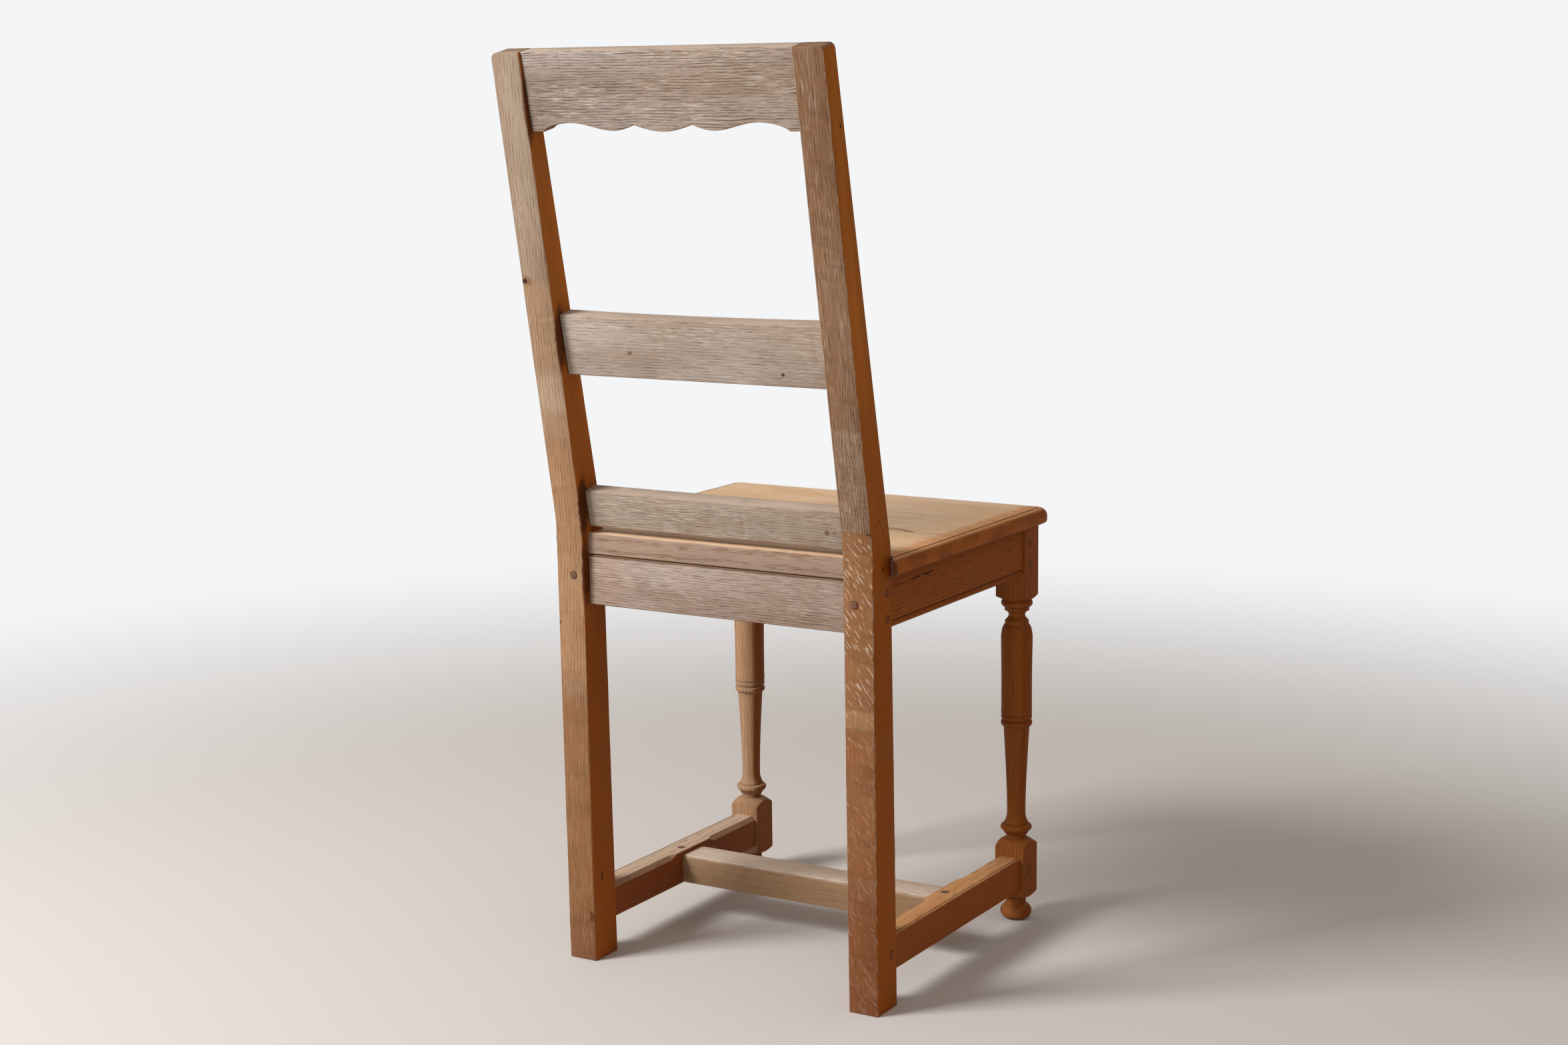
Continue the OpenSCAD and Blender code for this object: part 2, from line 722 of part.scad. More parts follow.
module rear_apron_pegs() { both_sides() rear_apron_peg(peg_d, peg_proud); }
module front_apron_pegs() { both_sides() front_apron_peg_pair(peg_d, peg_proud); }
module side_apron_rear_pegs() { both_sides() side_apron_rear_peg_pair(peg_d, peg_proud); }
module side_apron_front_pegs() { both_sides() side_apron_front_peg_pair(peg_d, peg_proud); }
module stretcher_rear_pegs() { both_sides() stretcher_rear_peg(peg_d, peg_proud); }
module stretcher_front_pegs() { both_sides() stretcher_front_peg(peg_d, peg_proud); }
module cross_stretcher_pegs() { both_sides() cross_stretcher_peg(peg_d, peg_proud); }

rear_leg(left);  // rear_leg_left
rear_leg(right);  // rear_leg_right
front_leg(left);  // front_leg_left
front_leg(right);  // front_leg_right
crest_rail();
middle_rail();
lower_rail();
seat_board();
rear_apron();
front_apron();
side_apron(left);  // side_apron_left
side_apron(right);  // side_apron_right
side_stretcher(left);  // side_stretcher_left
side_stretcher(right);  // side_stretcher_right
cross_stretcher();
rear_apron_pegs();
front_apron_pegs();
side_apron_rear_pegs();
side_apron_front_pegs();
stretcher_rear_pegs();
stretcher_front_pegs();
cross_stretcher_pegs();
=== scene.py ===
# %% [markdown]
# # A farmhouse chair in bare, weathered oak
# The frame comes from the imported CAD model: twenty-two nodes, in metres, with +Z up and the chair's back
# towards +Y. Every wooden piece is modelled again here with the soft arrises, small dips and chips
# that sawn and turned oak has after a century of use, and then given its own oak finish.

# %% Load the frame
from math import atan, cos, exp, log, pi, radians, sin, sqrt, tan

import bmesh
import bpy
from mathutils import Matrix, Vector, noise


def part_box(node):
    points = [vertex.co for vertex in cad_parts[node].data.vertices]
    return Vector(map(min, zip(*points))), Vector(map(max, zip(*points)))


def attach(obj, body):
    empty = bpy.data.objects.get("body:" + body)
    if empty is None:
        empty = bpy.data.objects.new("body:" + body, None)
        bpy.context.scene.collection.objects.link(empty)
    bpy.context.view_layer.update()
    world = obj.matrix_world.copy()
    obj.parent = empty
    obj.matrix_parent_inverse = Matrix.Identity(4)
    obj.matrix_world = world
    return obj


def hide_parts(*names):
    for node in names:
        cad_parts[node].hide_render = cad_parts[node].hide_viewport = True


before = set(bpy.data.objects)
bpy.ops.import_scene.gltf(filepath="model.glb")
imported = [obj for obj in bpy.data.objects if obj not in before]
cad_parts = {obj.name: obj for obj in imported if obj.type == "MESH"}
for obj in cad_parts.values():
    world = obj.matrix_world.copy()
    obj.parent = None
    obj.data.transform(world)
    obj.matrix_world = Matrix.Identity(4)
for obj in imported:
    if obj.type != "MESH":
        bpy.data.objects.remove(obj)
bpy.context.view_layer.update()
print("CAD nodes:", len(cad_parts))

# %% [markdown]
# ## Sizes
# The pieces fit one another, so their places are read from the CAD nodes wherever a node's box gives them.
# Only the lean of the posts and the bend's height are written down. A post is described in its own slanted
# frame: "up" runs along its front face from the bend, and "through" runs square to it, backwards.

# %% Sizes that several pieces share
MM = 0.001
LEFT, RIGHT = 1, -1
SIDES = {"left": LEFT, "right": RIGHT}

leg_low, leg_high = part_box("rear_leg_left")
seat_low, seat_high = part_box("seat_board")
apron_low, apron_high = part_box("rear_apron")
block_low, block_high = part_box("front_leg_left")

leg_in, leg_out = leg_low.x, leg_high.x
leg_top = seat_low.z
bend_back = apron_high.y + 10 * MM
bend_front = bend_back - 37.5 * MM
bend_z = 470 * MM
lean = radians(11.9)
post_len = (leg_high.z - bend_z) / cos(lean)


def post_point(x, up, through):
    """A place in the posts' slanted frame."""
    return Vector((x, bend_front + up * sin(lean) + through * cos(lean),
                   bend_z + up * cos(lean) - through * sin(lean)))


print("post length above the bend:", round(post_len, 4), "outer side at x:", round(leg_out, 4))

# %% [markdown]
# ## Blanks
# A joiner starts every straight piece from a sawn blank, and so does this script. A blank lies along X,
# which is the way of its grain, with its width along Y and its thickness along Z. Its arrises are bevelled
# round, it is cut across many times so that it can bend and wear, and each point keeps its place in the
# blank in an attribute called grain. The oak finish reads that attribute, so its lines follow the piece.

# %% Sawn blanks
GRAIN_STEP = Vector((0.37, 0.23, 0.11))


def round_off(bm, edges, width, segments=3, clamp=False):
    """Bevels edges round. In code, unlike in the editor, the profile and material have to be given."""
    bmesh.ops.bevel(bm, geom=edges, offset=width, offset_type="OFFSET", affect="EDGES", segments=segments,
                    profile=0.5, clamp_overlap=clamp, material=-1)


def blank(length, width, thick, arris=1.5 * MM, segments=3):
    """A block from the origin along +X, +Y and +Z, with round arrises."""
    bm = bmesh.new()
    bmesh.ops.create_cube(bm, size=1.0)
    bmesh.ops.translate(bm, vec=(0.5, 0.5, 0.5), verts=bm.verts)
    bmesh.ops.scale(bm, vec=(length, width, thick), verts=bm.verts)
    round_off(bm, bm.edges[:], arris, segments)
    return bm


def long_edges(bm):
    """The edges that run along the grain for more than half of the piece."""
    ends = [v.co.x for v in bm.verts]
    half = (max(ends) - min(ends)) / 2
    return [e for e in bm.edges if abs(e.verts[0].co.x - e.verts[1].co.x) > half]


def cut_across(bm, spacing):
    """Cuts the piece across its grain about every spacing metres."""
    edges = long_edges(bm)
    length = max(e.calc_length() for e in edges)
    bmesh.ops.subdivide_edges(bm, edges=edges, cuts=max(1, round(length / spacing) - 1),
                              use_grid_fill=True)


def mark_grain(bm, seed):
    """Keeps each point's place in the blank, moved by a step of its own for each piece."""
    layer = bm.verts.layers.float_vector.new("grain")
    for v in bm.verts:
        v[layer] = v.co + GRAIN_STEP * seed
    return bm


# %% [markdown]
# ## Wear
# Handling rounds an arris unevenly: a little more here, a small dent there. How near a point lies to a
# long arris is worked out in the blank, where it is simple, and slow noise then pulls those points inwards.
# The same value goes into an attribute, so that the finish can darken or bleach the worn arris.

# %% Worn arrises
WEAR_ALONG, WEAR_ACROSS, CHIPS_ALONG = 22, 40, 160    # waves of noise to the metre, roughly


def wear(bm, width, thick, arris, depth, seed, chip=0.0):
    """Wears the four long arrises by up to depth, with small chips up to chip."""
    layer = bm.verts.layers.float.new("arris")
    for v in bm.verts:
        y_edge = min(v.co.y, width - v.co.y)
        z_edge = min(v.co.z, thick - v.co.z)
        near = max(0.0, min(1.0, 2.4 * (1 - (y_edge + z_edge) / arris)))
        v[layer] = near
        across, through = v.co.y * WEAR_ACROSS, v.co.z * WEAR_ACROSS
        slow = noise.noise(Vector((v.co.x * WEAR_ALONG, across, seed + through)))
        quick = noise.noise(Vector((v.co.x * CHIPS_ALONG, across, seed + 7 + through)))
        pull = near * (depth * (0.5 + slow) + chip * max(0.0, quick - 0.15) * 2)
        middle = Vector((0, width / 2 - v.co.y, thick / 2 - v.co.z))
        if middle.length > 0:
            v.co += middle.normalized() * pull
    return bm


# %% [markdown]
# ## Into the scene
# A bmesh is only a workbench: to be seen, it is written to a mesh that an object carries. Every object
# stays at the origin, unturned, with its place in its mesh. It is shaded smooth, but edges past an angle
# stay crisp, because a joiner's arris would look like plastic if it were smoothed over. The piece then
# rides on the chair's one body, takes its own finish, and stands for its CAD node, which is hidden.


def into_scene(bm, name):
    """Turns a bmesh into an object at the origin, and frees the bmesh."""
    mesh = bpy.data.meshes.new(name)
    bm.to_mesh(mesh)
    bm.free()
    item = bpy.data.objects.new(name, mesh)
    bpy.context.scene.collection.objects.link(item)
    return item


def make_piece(bm, name, finish, node, sharp=38):
    """Shades the mesh smooth up to an angle, and puts it in place of its CAD node."""
    bmesh.ops.recalc_face_normals(bm, faces=bm.faces)
    piece = into_scene(bm, name)
    piece.data.shade_smooth()
    piece.data.set_sharp_from_angle(angle=radians(sharp))
    piece.data.materials.append(finish)
    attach(piece, "root")
    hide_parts(node)
    print(name, "faces:", len(piece.data.polygons))


# %% [markdown]
# ## Where the pegs are
# Every joint is pinned with oak pegs. Their places are read from the CAD nodes: each loose part of a peg
# node is one peg, and its outer end lies at the middle of one side of its box. The list is needed before
# the finishes, because dirt has gathered in a thin dark ring round each peg.

# %% Find the pegs
OUTWARDS = (1, 0, 0)    # turned round for the pegs on the chair's right
PEG_WAYS = {"rear_apron_pegs": (0, 1, 0), "front_apron_pegs": (0, -1, 0),
            "side_apron_rear_pegs": OUTWARDS, "side_apron_front_pegs": OUTWARDS,
            "stretcher_rear_pegs": OUTWARDS, "stretcher_front_pegs": OUTWARDS,
            "cross_stretcher_pegs": (0, 0, 1)}


def loose_parts(bm):
    """The sets of points that hang together."""
    left, parts = set(bm.verts), []
    while left:
        part, front = set(), [left.pop()]
        while front:
            v = front.pop()
            part.add(v)
            for e in v.link_edges:
                other = e.other_vert(v)
                if other in left:
                    left.discard(other)
                    front.append(other)
        parts.append(part)
    return parts


def peg_ends(node, way):
    """The middle of each peg's outer end, and the way it points."""
    bm = bmesh.new()
    bm.from_mesh(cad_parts[node].data)
    bmesh.ops.remove_doubles(bm, verts=bm.verts, dist=0.001 * MM)
    ends = []
    for part in loose_parts(bm):
        low = Vector([min(v.co[i] for v in part) for i in range(3)])
        high = Vector([max(v.co[i] for v in part) for i in range(3)])
        middle, half = (low + high) / 2, (high - low) / 2
        outward = -Vector(way) if way == OUTWARDS and middle.x < 0 else Vector(way)
        ends.append((middle + outward * half, outward))
    bm.free()
    return sorted(ends, key=lambda end: tuple(end[0]))


def pegs_near(side, top=1.0):
    """The places of the pegs at one side of the chair, below a height."""
    return [p for p in peg_places if 0.1 < side * p[0] < 0.3 and 0 < p[2] < top]


PEGS = {node: peg_ends(node, way) for node, way in PEG_WAYS.items()}
peg_places = [tuple(end[0]) for ends in PEGS.values() for end in ends]
print("pegs:", len(peg_places))


# %% [markdown]
# ## The oak finish
# Bare oak is not one brown. Sanding opens its pores and old limewash stays in them, so the broad faces look
# grey and chalky with broken dark lines, while narrower faces keep a honey colour. That honey is painted
# deeper and more orange than the wood, as it also carries painted warm light for the side faces in shade.
# The finish is painted in layers from that, as a grainer would fake it: each function below takes the
# colour so far and adds to it.
# All the lines read one gently swaying copy of the grain, so they wave together as they do in wood. An
# image texture would be quicker to put on, but its lines would stop short at every edge of a piece.

# %% A small kit for node trees
def srgb(*values):
    """A colour written as 0 to 255, turned into the linear values that shaders use."""
    scaled = [v / 255 for v in values]
    return tuple(v / 12.92 if v <= 0.04045 else ((v + 0.055) / 1.055) ** 2.4 for v in scaled) + (1.0,)


def darker(colour, share):
    return tuple(share * c for c in colour[:3]) + (1.0,)


class Finish:
    """The node tree of a material or world, with short ways to add the nodes that are used here."""

    def __init__(self, owner):
        owner.use_nodes = True
        self.owner = owner
        self.nodes = owner.node_tree.nodes
        self.links = owner.node_tree.links
        self.nodes.clear()

    def add(self, kind, inputs, **settings):
        node = self.nodes.new("ShaderNode" + kind)
        for key, value in settings.items():
            setattr(node, key, value)
        for key, value in inputs.items():
            if isinstance(value, bpy.types.NodeSocket):
                self.links.new(value, node.inputs[key])
            else:
                node.inputs[key].default_value = value
        return node

    def math(self, operation, a, b=0.0):
        return self.add("Math", {0: a, 1: b}, operation=operation).outputs[0]

    def times(self, first, *others):
        for other in others:
            first = self.math("MULTIPLY", first, other)
        return first

    def vector(self, operation, a, b=(0, 0, 0)):
        return self.add("VectorMath", {0: a, 1: b}, operation=operation).outputs[0]

    def mix(self, amount, a, b):
        return self.add("Mix", {0: amount, 6: a, 7: b}, data_type="RGBA").outputs[2]

    def ease(self, value, low, high, bottom=0.0, top=1.0):
        """bottom below low, top above high, and a smooth step between."""
        node = self.add("MapRange", {0: value, 1: low, 2: high, 3: bottom, 4: top},
                        interpolation_type="SMOOTHSTEP")
        return node.outputs[0]

    def noise(self, vector, stretch, detail=2.0, rough=0.5, shift=(0, 0, 0), output=0):
        """Noise with its own scale along, across and through the grain."""
        place = self.add("Mapping", {"Vector": vector, "Location": shift, "Scale": stretch}).outputs[0]
        return self.add("TexNoise", {"Vector": place, "Scale": 1.0, "Detail": detail,
                                     "Roughness": rough}).outputs[output]

    def sway(self, vector, stretch, reach):
        """The vector moved sideways by slow noise, by up to about half the reach."""
        push = self.vector("SUBTRACT", self.noise(vector, stretch, detail=1.0, output=1), (0.5, 0.5, 0.5))
        return self.vector("ADD", vector, self.vector("MULTIPLY", push, (0, reach, reach)))

    def near(self, place, centre, reach, soft=0.5):
        """1 around a centre, falling to 0 at the reach along X, Y and Z."""
        scaled = self.vector("DIVIDE", self.vector("SUBTRACT", place, centre), reach)
        distance = self.add("VectorMath", {0: scaled}, operation="LENGTH").outputs["Value"]
        return self.ease(distance, 1 - soft, 1.0, 1.0, 0.0)

    def facing(self, normal, way, low, high):
        """1 on faces that look along the way or against it."""
        along = self.add("VectorMath", {0: normal, 1: way}, operation="DOT_PRODUCT").outputs["Value"]
        return self.ease(self.math("ABSOLUTE", along), low, high)


# %% What every layer reads
CHALK = srgb(222, 212, 200)
UNDERSIDE_SHADE = srgb(104, 58, 26)
# Painted shade for the quirk grooves.
QUIRK_SHADE = srgb(58, 32, 16)
PEG_RING = srgb(52, 30, 17)
FLECK = srgb(206, 186, 168)
PEG_RING_R = 4.9 * MM


def start_oak(name, side_way, side_lines, wave):
    """An empty finish that knows a point's place in the wood and on the chair, and how its face looks."""
    f = Finish(bpy.data.materials.new(name))
    f.wood = f.add("Attribute", {}, attribute_name="grain").outputs["Vector"]
    f.place = f.add("TexCoord", {}).outputs["Object"]
    f.xyz = f.add("SeparateXYZ", {0: f.place}).outputs
    f.normal = f.add("NewGeometry", {}).outputs["Normal"]
    f.looks = f.add("SeparateXYZ", {0: f.normal}).outputs
    f.on_side = f.facing(f.normal, side_way, 0.55, 0.85)
    f.open_pores = f.ease(f.on_side, 0.0, 1.0, 1.0, side_lines)
    f.cloud = f.noise(f.wood, (4, 28, 28), detail=3.0, shift=(2, 1, 4))
    f.swaying = f.sway(f.sway(f.wood, (11, 48, 48), wave * MM), (55, 240, 240), 1.3 * MM)
    return f


# %% Cloudy ground, broad tones along one axis, and warmer narrow faces
def paint_ground(f, pale, deep, side, deepen, tones):
    """Faces towards +X, the lamp's side, fade to the deep tone, as the honey is partly painted warm light.
    """
    colour = f.mix(f.ease(f.cloud, 0.34, 0.68), pale, deep)
    honey = f.mix(f.ease(f.cloud, 0.3, 0.7), side, darker(side, 0.76))
    reddened = (0.54 * side[0], 0.40 * side[1], 0.16 * side[2], 1.0)
    honey = f.mix(f.ease(f.xyz[2], 0.30, 0.75, deepen, 0.0), honey, reddened)
    # Faces towards +X, on the lamp's side, lose the honey, which is partly painted warm light for shade.
    f.bleached = f.ease(f.looks[0], 0.2, 0.7, 0.0, 0.7)
    honey = f.mix(f.bleached, honey, deep)
    for axis, start, end, soft, tone, amount in tones:
        ragged = f.math("ADD", f.xyz[axis], f.times(f.noise(f.wood, (60, 240, 240)), 2 * soft))
        inside = f.times(f.ease(ragged, start, start + 2 * soft),
                         f.ease(ragged, end, end + 2 * soft, 1.0, 0.0))
        colour = f.mix(f.times(inside, amount), colour, tone)
    return f.mix(f.on_side, colour, honey)


# %% Pores in rows, dashes and fibres
def paint_pores(f, colour, line, rows, row_gap, pith, tilt, dashes, flecks):
    """Growth rings round a pith that lies outside the piece, short dark dashes along them, fine fibres."""
    around = f.add("Mapping", {"Vector": f.swaying, "Location": (0, *pith), "Rotation": (0, tilt, tilt)})
    f.ring = f.add("TexWave", {"Vector": around.outputs[0], "Scale": 0.314 / (row_gap * MM),
                               "Distortion": 0.0}, wave_type="RINGS", rings_direction="X").outputs["Fac"]
    broken = f.ease(f.noise(f.wood, (36, 210, 210), detail=2.0, shift=(5, 3, 1)), 0.40, 0.56, 0.10)
    f.row = f.times(f.ease(f.ring, 0.68, 0.97), broken)
    if flecks:
        f.open_pores = f.times(f.open_pores, f.ease(f.xyz[2], flecks - MM, flecks + MM, 0.3, 1.0))
    colour = f.mix(f.times(f.row, f.open_pores, rows), colour, line)
    dash = f.ease(f.noise(f.swaying, (70, 880, 880), detail=1.0, rough=0.4, shift=(3, 7, 2)), 0.55, 0.66)
    f.dash = f.times(dash, f.ease(f.ring, 0.1, 0.9, 0.3))
    colour = f.mix(f.times(f.dash, f.open_pores, dashes), colour, darker(line, 0.8))
    f.fibres = f.noise(f.swaying, (30, 1500, 1500), detail=2.0, rough=0.6)
    return f.mix(f.ease(f.fibres, 0.42, 0.68, 0.0, 0.26), colour, line)


# %% Pale residue, and medullary flecks
def paint_residue(f, colour, lime):
    """Limewash that the pores and hollows have kept, with less of it on the narrow faces."""
    patch = f.ease(f.noise(f.wood, (8, 50, 50), shift=(8, 8, 2)), 0.38, 0.62, 0.35)
    chalk = f.ease(f.noise(f.swaying, (56, 980, 980), detail=2.0, shift=(1, 6, 9)), 0.5, 0.68)
    kept = f.ease(f.on_side, 0.0, 0.8, lime, 0.15 * lime)
    return f.mix(f.times(chalk, patch, f.open_pores, kept), colour, CHALK)


def paint_flecks(f, colour, line, flecks):
    """A band of open pores above a height, and pale slashes of quarter-sawn oak below it."""
    band = f.times(f.ease(f.xyz[2], flecks, flecks + MM),
                   f.ease(f.xyz[2], flecks + 101 * MM, flecks + 103 * MM, 1.0, 0.0))
    dots = f.times(f.ease(f.noise(f.swaying, (300, 800, 800), detail=0.0), 0.55, 0.63),
                   f.ease(f.ring, 0.2, 0.9, 0.25))
    colour = f.mix(f.times(dots, band, f.ease(f.on_side, 0.0, 0.5, 0.55, 0.0)), colour, line)
    leaning = f.add("Mapping", {"Vector": f.sway(f.wood, (30, 60, 60), 2 * MM),
                                "Rotation": (0, 0, radians(38))}).outputs[0]
    slash = f.ease(f.noise(leaning, (84, 620, 30), detail=0.0), 0.655, 0.74)
    below = f.times(f.ease(f.xyz[2], flecks - 2 * MM, flecks + 2 * MM, 1.0, 0.0),
                    f.ease(f.xyz[2], 0.24, 0.34, 0.3, 1.0))
    shown = f.times(slash, f.ease(f.on_side, 0.0, 0.5, 1.0, 0.0), below, 0.75)
    return f.mix(shown, colour, FLECK)


# %% End grain, a moulded front edge, and painted shade on undersides
def paint_ends(f, colour, deep, way, tone):
    """Speckled end grain on the faces that the grain runs into."""
    speck = f.ease(f.noise(f.place, (420, 420, 420), detail=3.0), 0.36, 0.66)
    worn = f.ease(f.noise(f.place, (24, 24, 60), detail=3.0), 0.38, 0.64)
    grained = f.mix(worn, f.mix(speck, tone, darker(tone, 0.85)), darker(tone, 0.66))
    # End grain on the lamp's side fades to the deep tone too, as its orange is partly painted warm light.
    faded = f.mix(f.times(f.bleached, 0.6), grained, deep)
    return f.mix(f.facing(f.normal, way, 0.35, 0.75), colour, faded)


def paint_front(f, colour, tone):
    front = f.ease(f.looks[1], -0.75, -0.35, 1.0, 0.0)
    return f.mix(front, colour, f.mix(f.ease(f.cloud, 0.34, 0.68), tone, darker(tone, 0.7)))


def paint_underside_shade(f, colour):
    # Faces that look downwards, such as the bevel under the seat's nose, are darkened as painted shade.
    return f.mix(f.ease(f.looks[2], -0.85, -0.40, 0.85, 0.0), colour, UNDERSIDE_SHADE)


# %% Worn arrises, painted shade in quirks, dirt round pegs, and each piece's own marks
def paint_wear(f, colour, arris, pegs):
    """A torn or bleached arris, painted shade in the quirks, and a dark ring round each peg."""
    if arris:
        worn = f.add("Attribute", {}, attribute_name="arris").outputs["Fac"]
        torn = f.ease(f.noise(f.wood, (90, 130, 130), detail=3.0), 0.42, 0.62)
        colour = f.mix(f.times(worn, torn, arris[1]), colour, arris[0])
    # The quirk grooves are darkened as painted shade.
    quirk_shade_mask = f.add("Attribute", {}, attribute_name="quirk").outputs["Fac"]
    colour = f.mix(f.times(quirk_shade_mask, 0.8), colour, QUIRK_SHADE)
    for peg_place in pegs:
        ring = f.near(f.place, peg_place, (PEG_RING_R,) * 3, 0.2)
        colour = f.mix(f.times(ring, 0.85), colour, PEG_RING)
    return colour


def paint_marks(f, colour, marks):
    """Knots, nails, stains, cracks and painted shade: each has a centre, a reach, a colour and an amount.
    """
    jitter = f.add("TexNoise", {"Vector": f.place, "Scale": 150.0, "Detail": 2.0}).outputs["Color"]
    jitter = f.vector("MULTIPLY", f.vector("SUBTRACT", jitter, (0.5, 0.5, 0.5)), (4 * MM,) * 3)
    ragged = f.vector("ADD", f.place, jitter)
    for centre, reach, tone, amount in marks:
        colour = f.mix(f.times(f.near(ragged, centre, reach), amount), colour, tone)
    return colour


# %% The whole finish, with its relief and sheen
def oak(name, pale, deep, line, side, side_way=(1, 0, 0), side_lines=0.2, rows=0.5, row_gap=2.4,
        wave=2.5, pith=(0.09, 0.05), tilt=0.0, dashes=0.5, lime=0.4, tones=(), marks=(), flecks=0.0,
        ends=None, arris=None, pegs=(), relief=1.0, gloss=0.62, deepen=0.85, front=None):
    """Four colours and the amounts of each layer. Rows and waves are in millimetres, the rest in metres."""
    f = start_oak(name, side_way, side_lines, wave)
    colour = paint_ground(f, pale, deep, side, deepen, tones)
    colour = paint_pores(f, colour, line, rows, row_gap, pith, tilt, dashes, flecks)
    colour = paint_residue(f, colour, lime)
    if flecks:
        colour = paint_flecks(f, colour, line, flecks)
    if ends:
        colour = paint_ends(f, colour, deep, *ends)
    if front:
        colour = paint_front(f, colour, front)
    colour = paint_marks(f, paint_wear(f, paint_underside_shade(f, colour), arris, pegs), marks)

    height = f.math("ADD", f.times(f.row, f.open_pores, -0.7), f.times(f.dash, f.open_pores, -0.9))
    height = f.math("ADD", height, f.times(f.fibres, 0.5))
    bump = f.add("Bump", {"Strength": 0.6 * relief, "Distance": 0.4 * MM, "Height": height}).outputs[0]
    sheen = {0: f.fibres, 1: 0.3, 2: 0.7, 3: gloss - 0.06, 4: gloss + 0.1}
    rough = f.add("MapRange", sheen).outputs[0]
    shader = f.add("BsdfPrincipled", {"Base Color": colour, "Roughness": rough, "Normal": bump,
                                      "Specular IOR Level": 0.1})
    f.add("OutputMaterial", {0: shader.outputs[0]})
    print("finish", name, "nodes:", len(f.nodes))
    return f.owner


# %% [markdown]
# ## Rear legs
# Each rear leg and its post are one piece, sawn to a bend from a wide plank. Below the seat the leg stands
# almost upright; above it the front face leans back and the piece thins towards the top. The blank is cut
# across every four millimetres and each slice is carried to its place: its front edge follows the front of
# the leg, its back edge the back, and the slices tilt together through the bend.

# %% The outline of a rear leg
FOOT_DEPTH, FOOT_SET, LEG_BLANK = 40.5 * MM, 5.5 * MM, 40 * MM
TOP_DEPTH, BEND_R, BEND_REACH = 22.5 * MM, 130 * MM, 50 * MM
top_back = post_point(0, post_len, TOP_DEPTH)
back_lean = atan((top_back.y - bend_back) / (top_back.z - bend_z))
arc_start = bend_z - BEND_R * tan(back_lean / 2)
arc_end = arc_start + BEND_R * sin(back_lean)


def leg_front(height):
    """The front face's y at a height below the bend."""
    foot = bend_back - FOOT_SET - FOOT_DEPTH
    return foot + (bend_front - foot) * height / bend_z


def leg_back(height):
    """The back face's y at any height."""
    if height < arc_start:
        return bend_back - FOOT_SET * (1 - height / bend_z)
    if height < arc_end:
        return bend_back + BEND_R - sqrt(BEND_R ** 2 - (height - arc_start) ** 2)
    return bend_back + (height - bend_z) * tan(back_lean)


def on_back(x, height, inwards=0.0):
    """A place on a rear leg's back face, or some way in from it."""
    return (x, leg_back(height) - inwards, height)


def leg_slice(along):
    """The front and back of the slice that lies this far along the leg."""
    if along <= bend_z:
        front = Vector((0, leg_front(along), along))
    else:
        front = post_point(0, along - bend_z, 0)
    t = min(1.0, max(0.0, (along - bend_z + BEND_REACH / 2) / BEND_REACH))
    tilt = lean * t * t * (3 - 2 * t)
    depth = LEG_BLANK
    for _ in range(8):    # each round brings the slice's end nearer to the back face
        depth = (leg_back(front.z - depth * sin(tilt)) - front.y) / cos(tilt)
    return front, front + Vector((0, depth * cos(tilt), -depth * sin(tilt)))


# %% Saw and shape the two rear legs
def rear_leg(side, seed, arris, chip):
    width, length = leg_out - leg_in, bend_z + post_len
    bm = blank(length, width, LEG_BLANK, arris=0.01 * MM, segments=1)
    bmesh.ops.remove_doubles(bm, verts=bm.verts, dist=0.03 * MM)
    outer_top = [e for e in bm.edges if all(v.co.x > length - MM and v.co.y > width - MM for v in e.verts)]
    round_off(bm, outer_top, 6 * MM, 5)
    hard = [e for e in bm.edges if e.is_manifold and e.calc_face_angle() > radians(50)]
    round_off(bm, hard, arris)
    cut_across(bm, 4 * MM)
    mark_grain(bm, seed)
    wear(bm, width, LEG_BLANK, arris, 0.35 * MM, seed, chip)
    for v in bm.verts:
        front, back = leg_slice(max(0.0, min(length, v.co.x)))
        place = front.lerp(back, v.co.z / LEG_BLANK)
        v.co = Vector((side * (leg_in + v.co.y), place.y, place.z))
    if side < 0:
        bmesh.ops.reverse_faces(bm, faces=bm.faces)
    return bm


# %% The rear legs' finishes, and the legs
UP, ACROSS, BACK = 2, 0, 1    # the axis that a broad tone is measured along
# The side faces' honey is deeper and more orange than the wood's own, partly painted warm light in their
# shade.
honey_side = srgb(200, 116, 40)
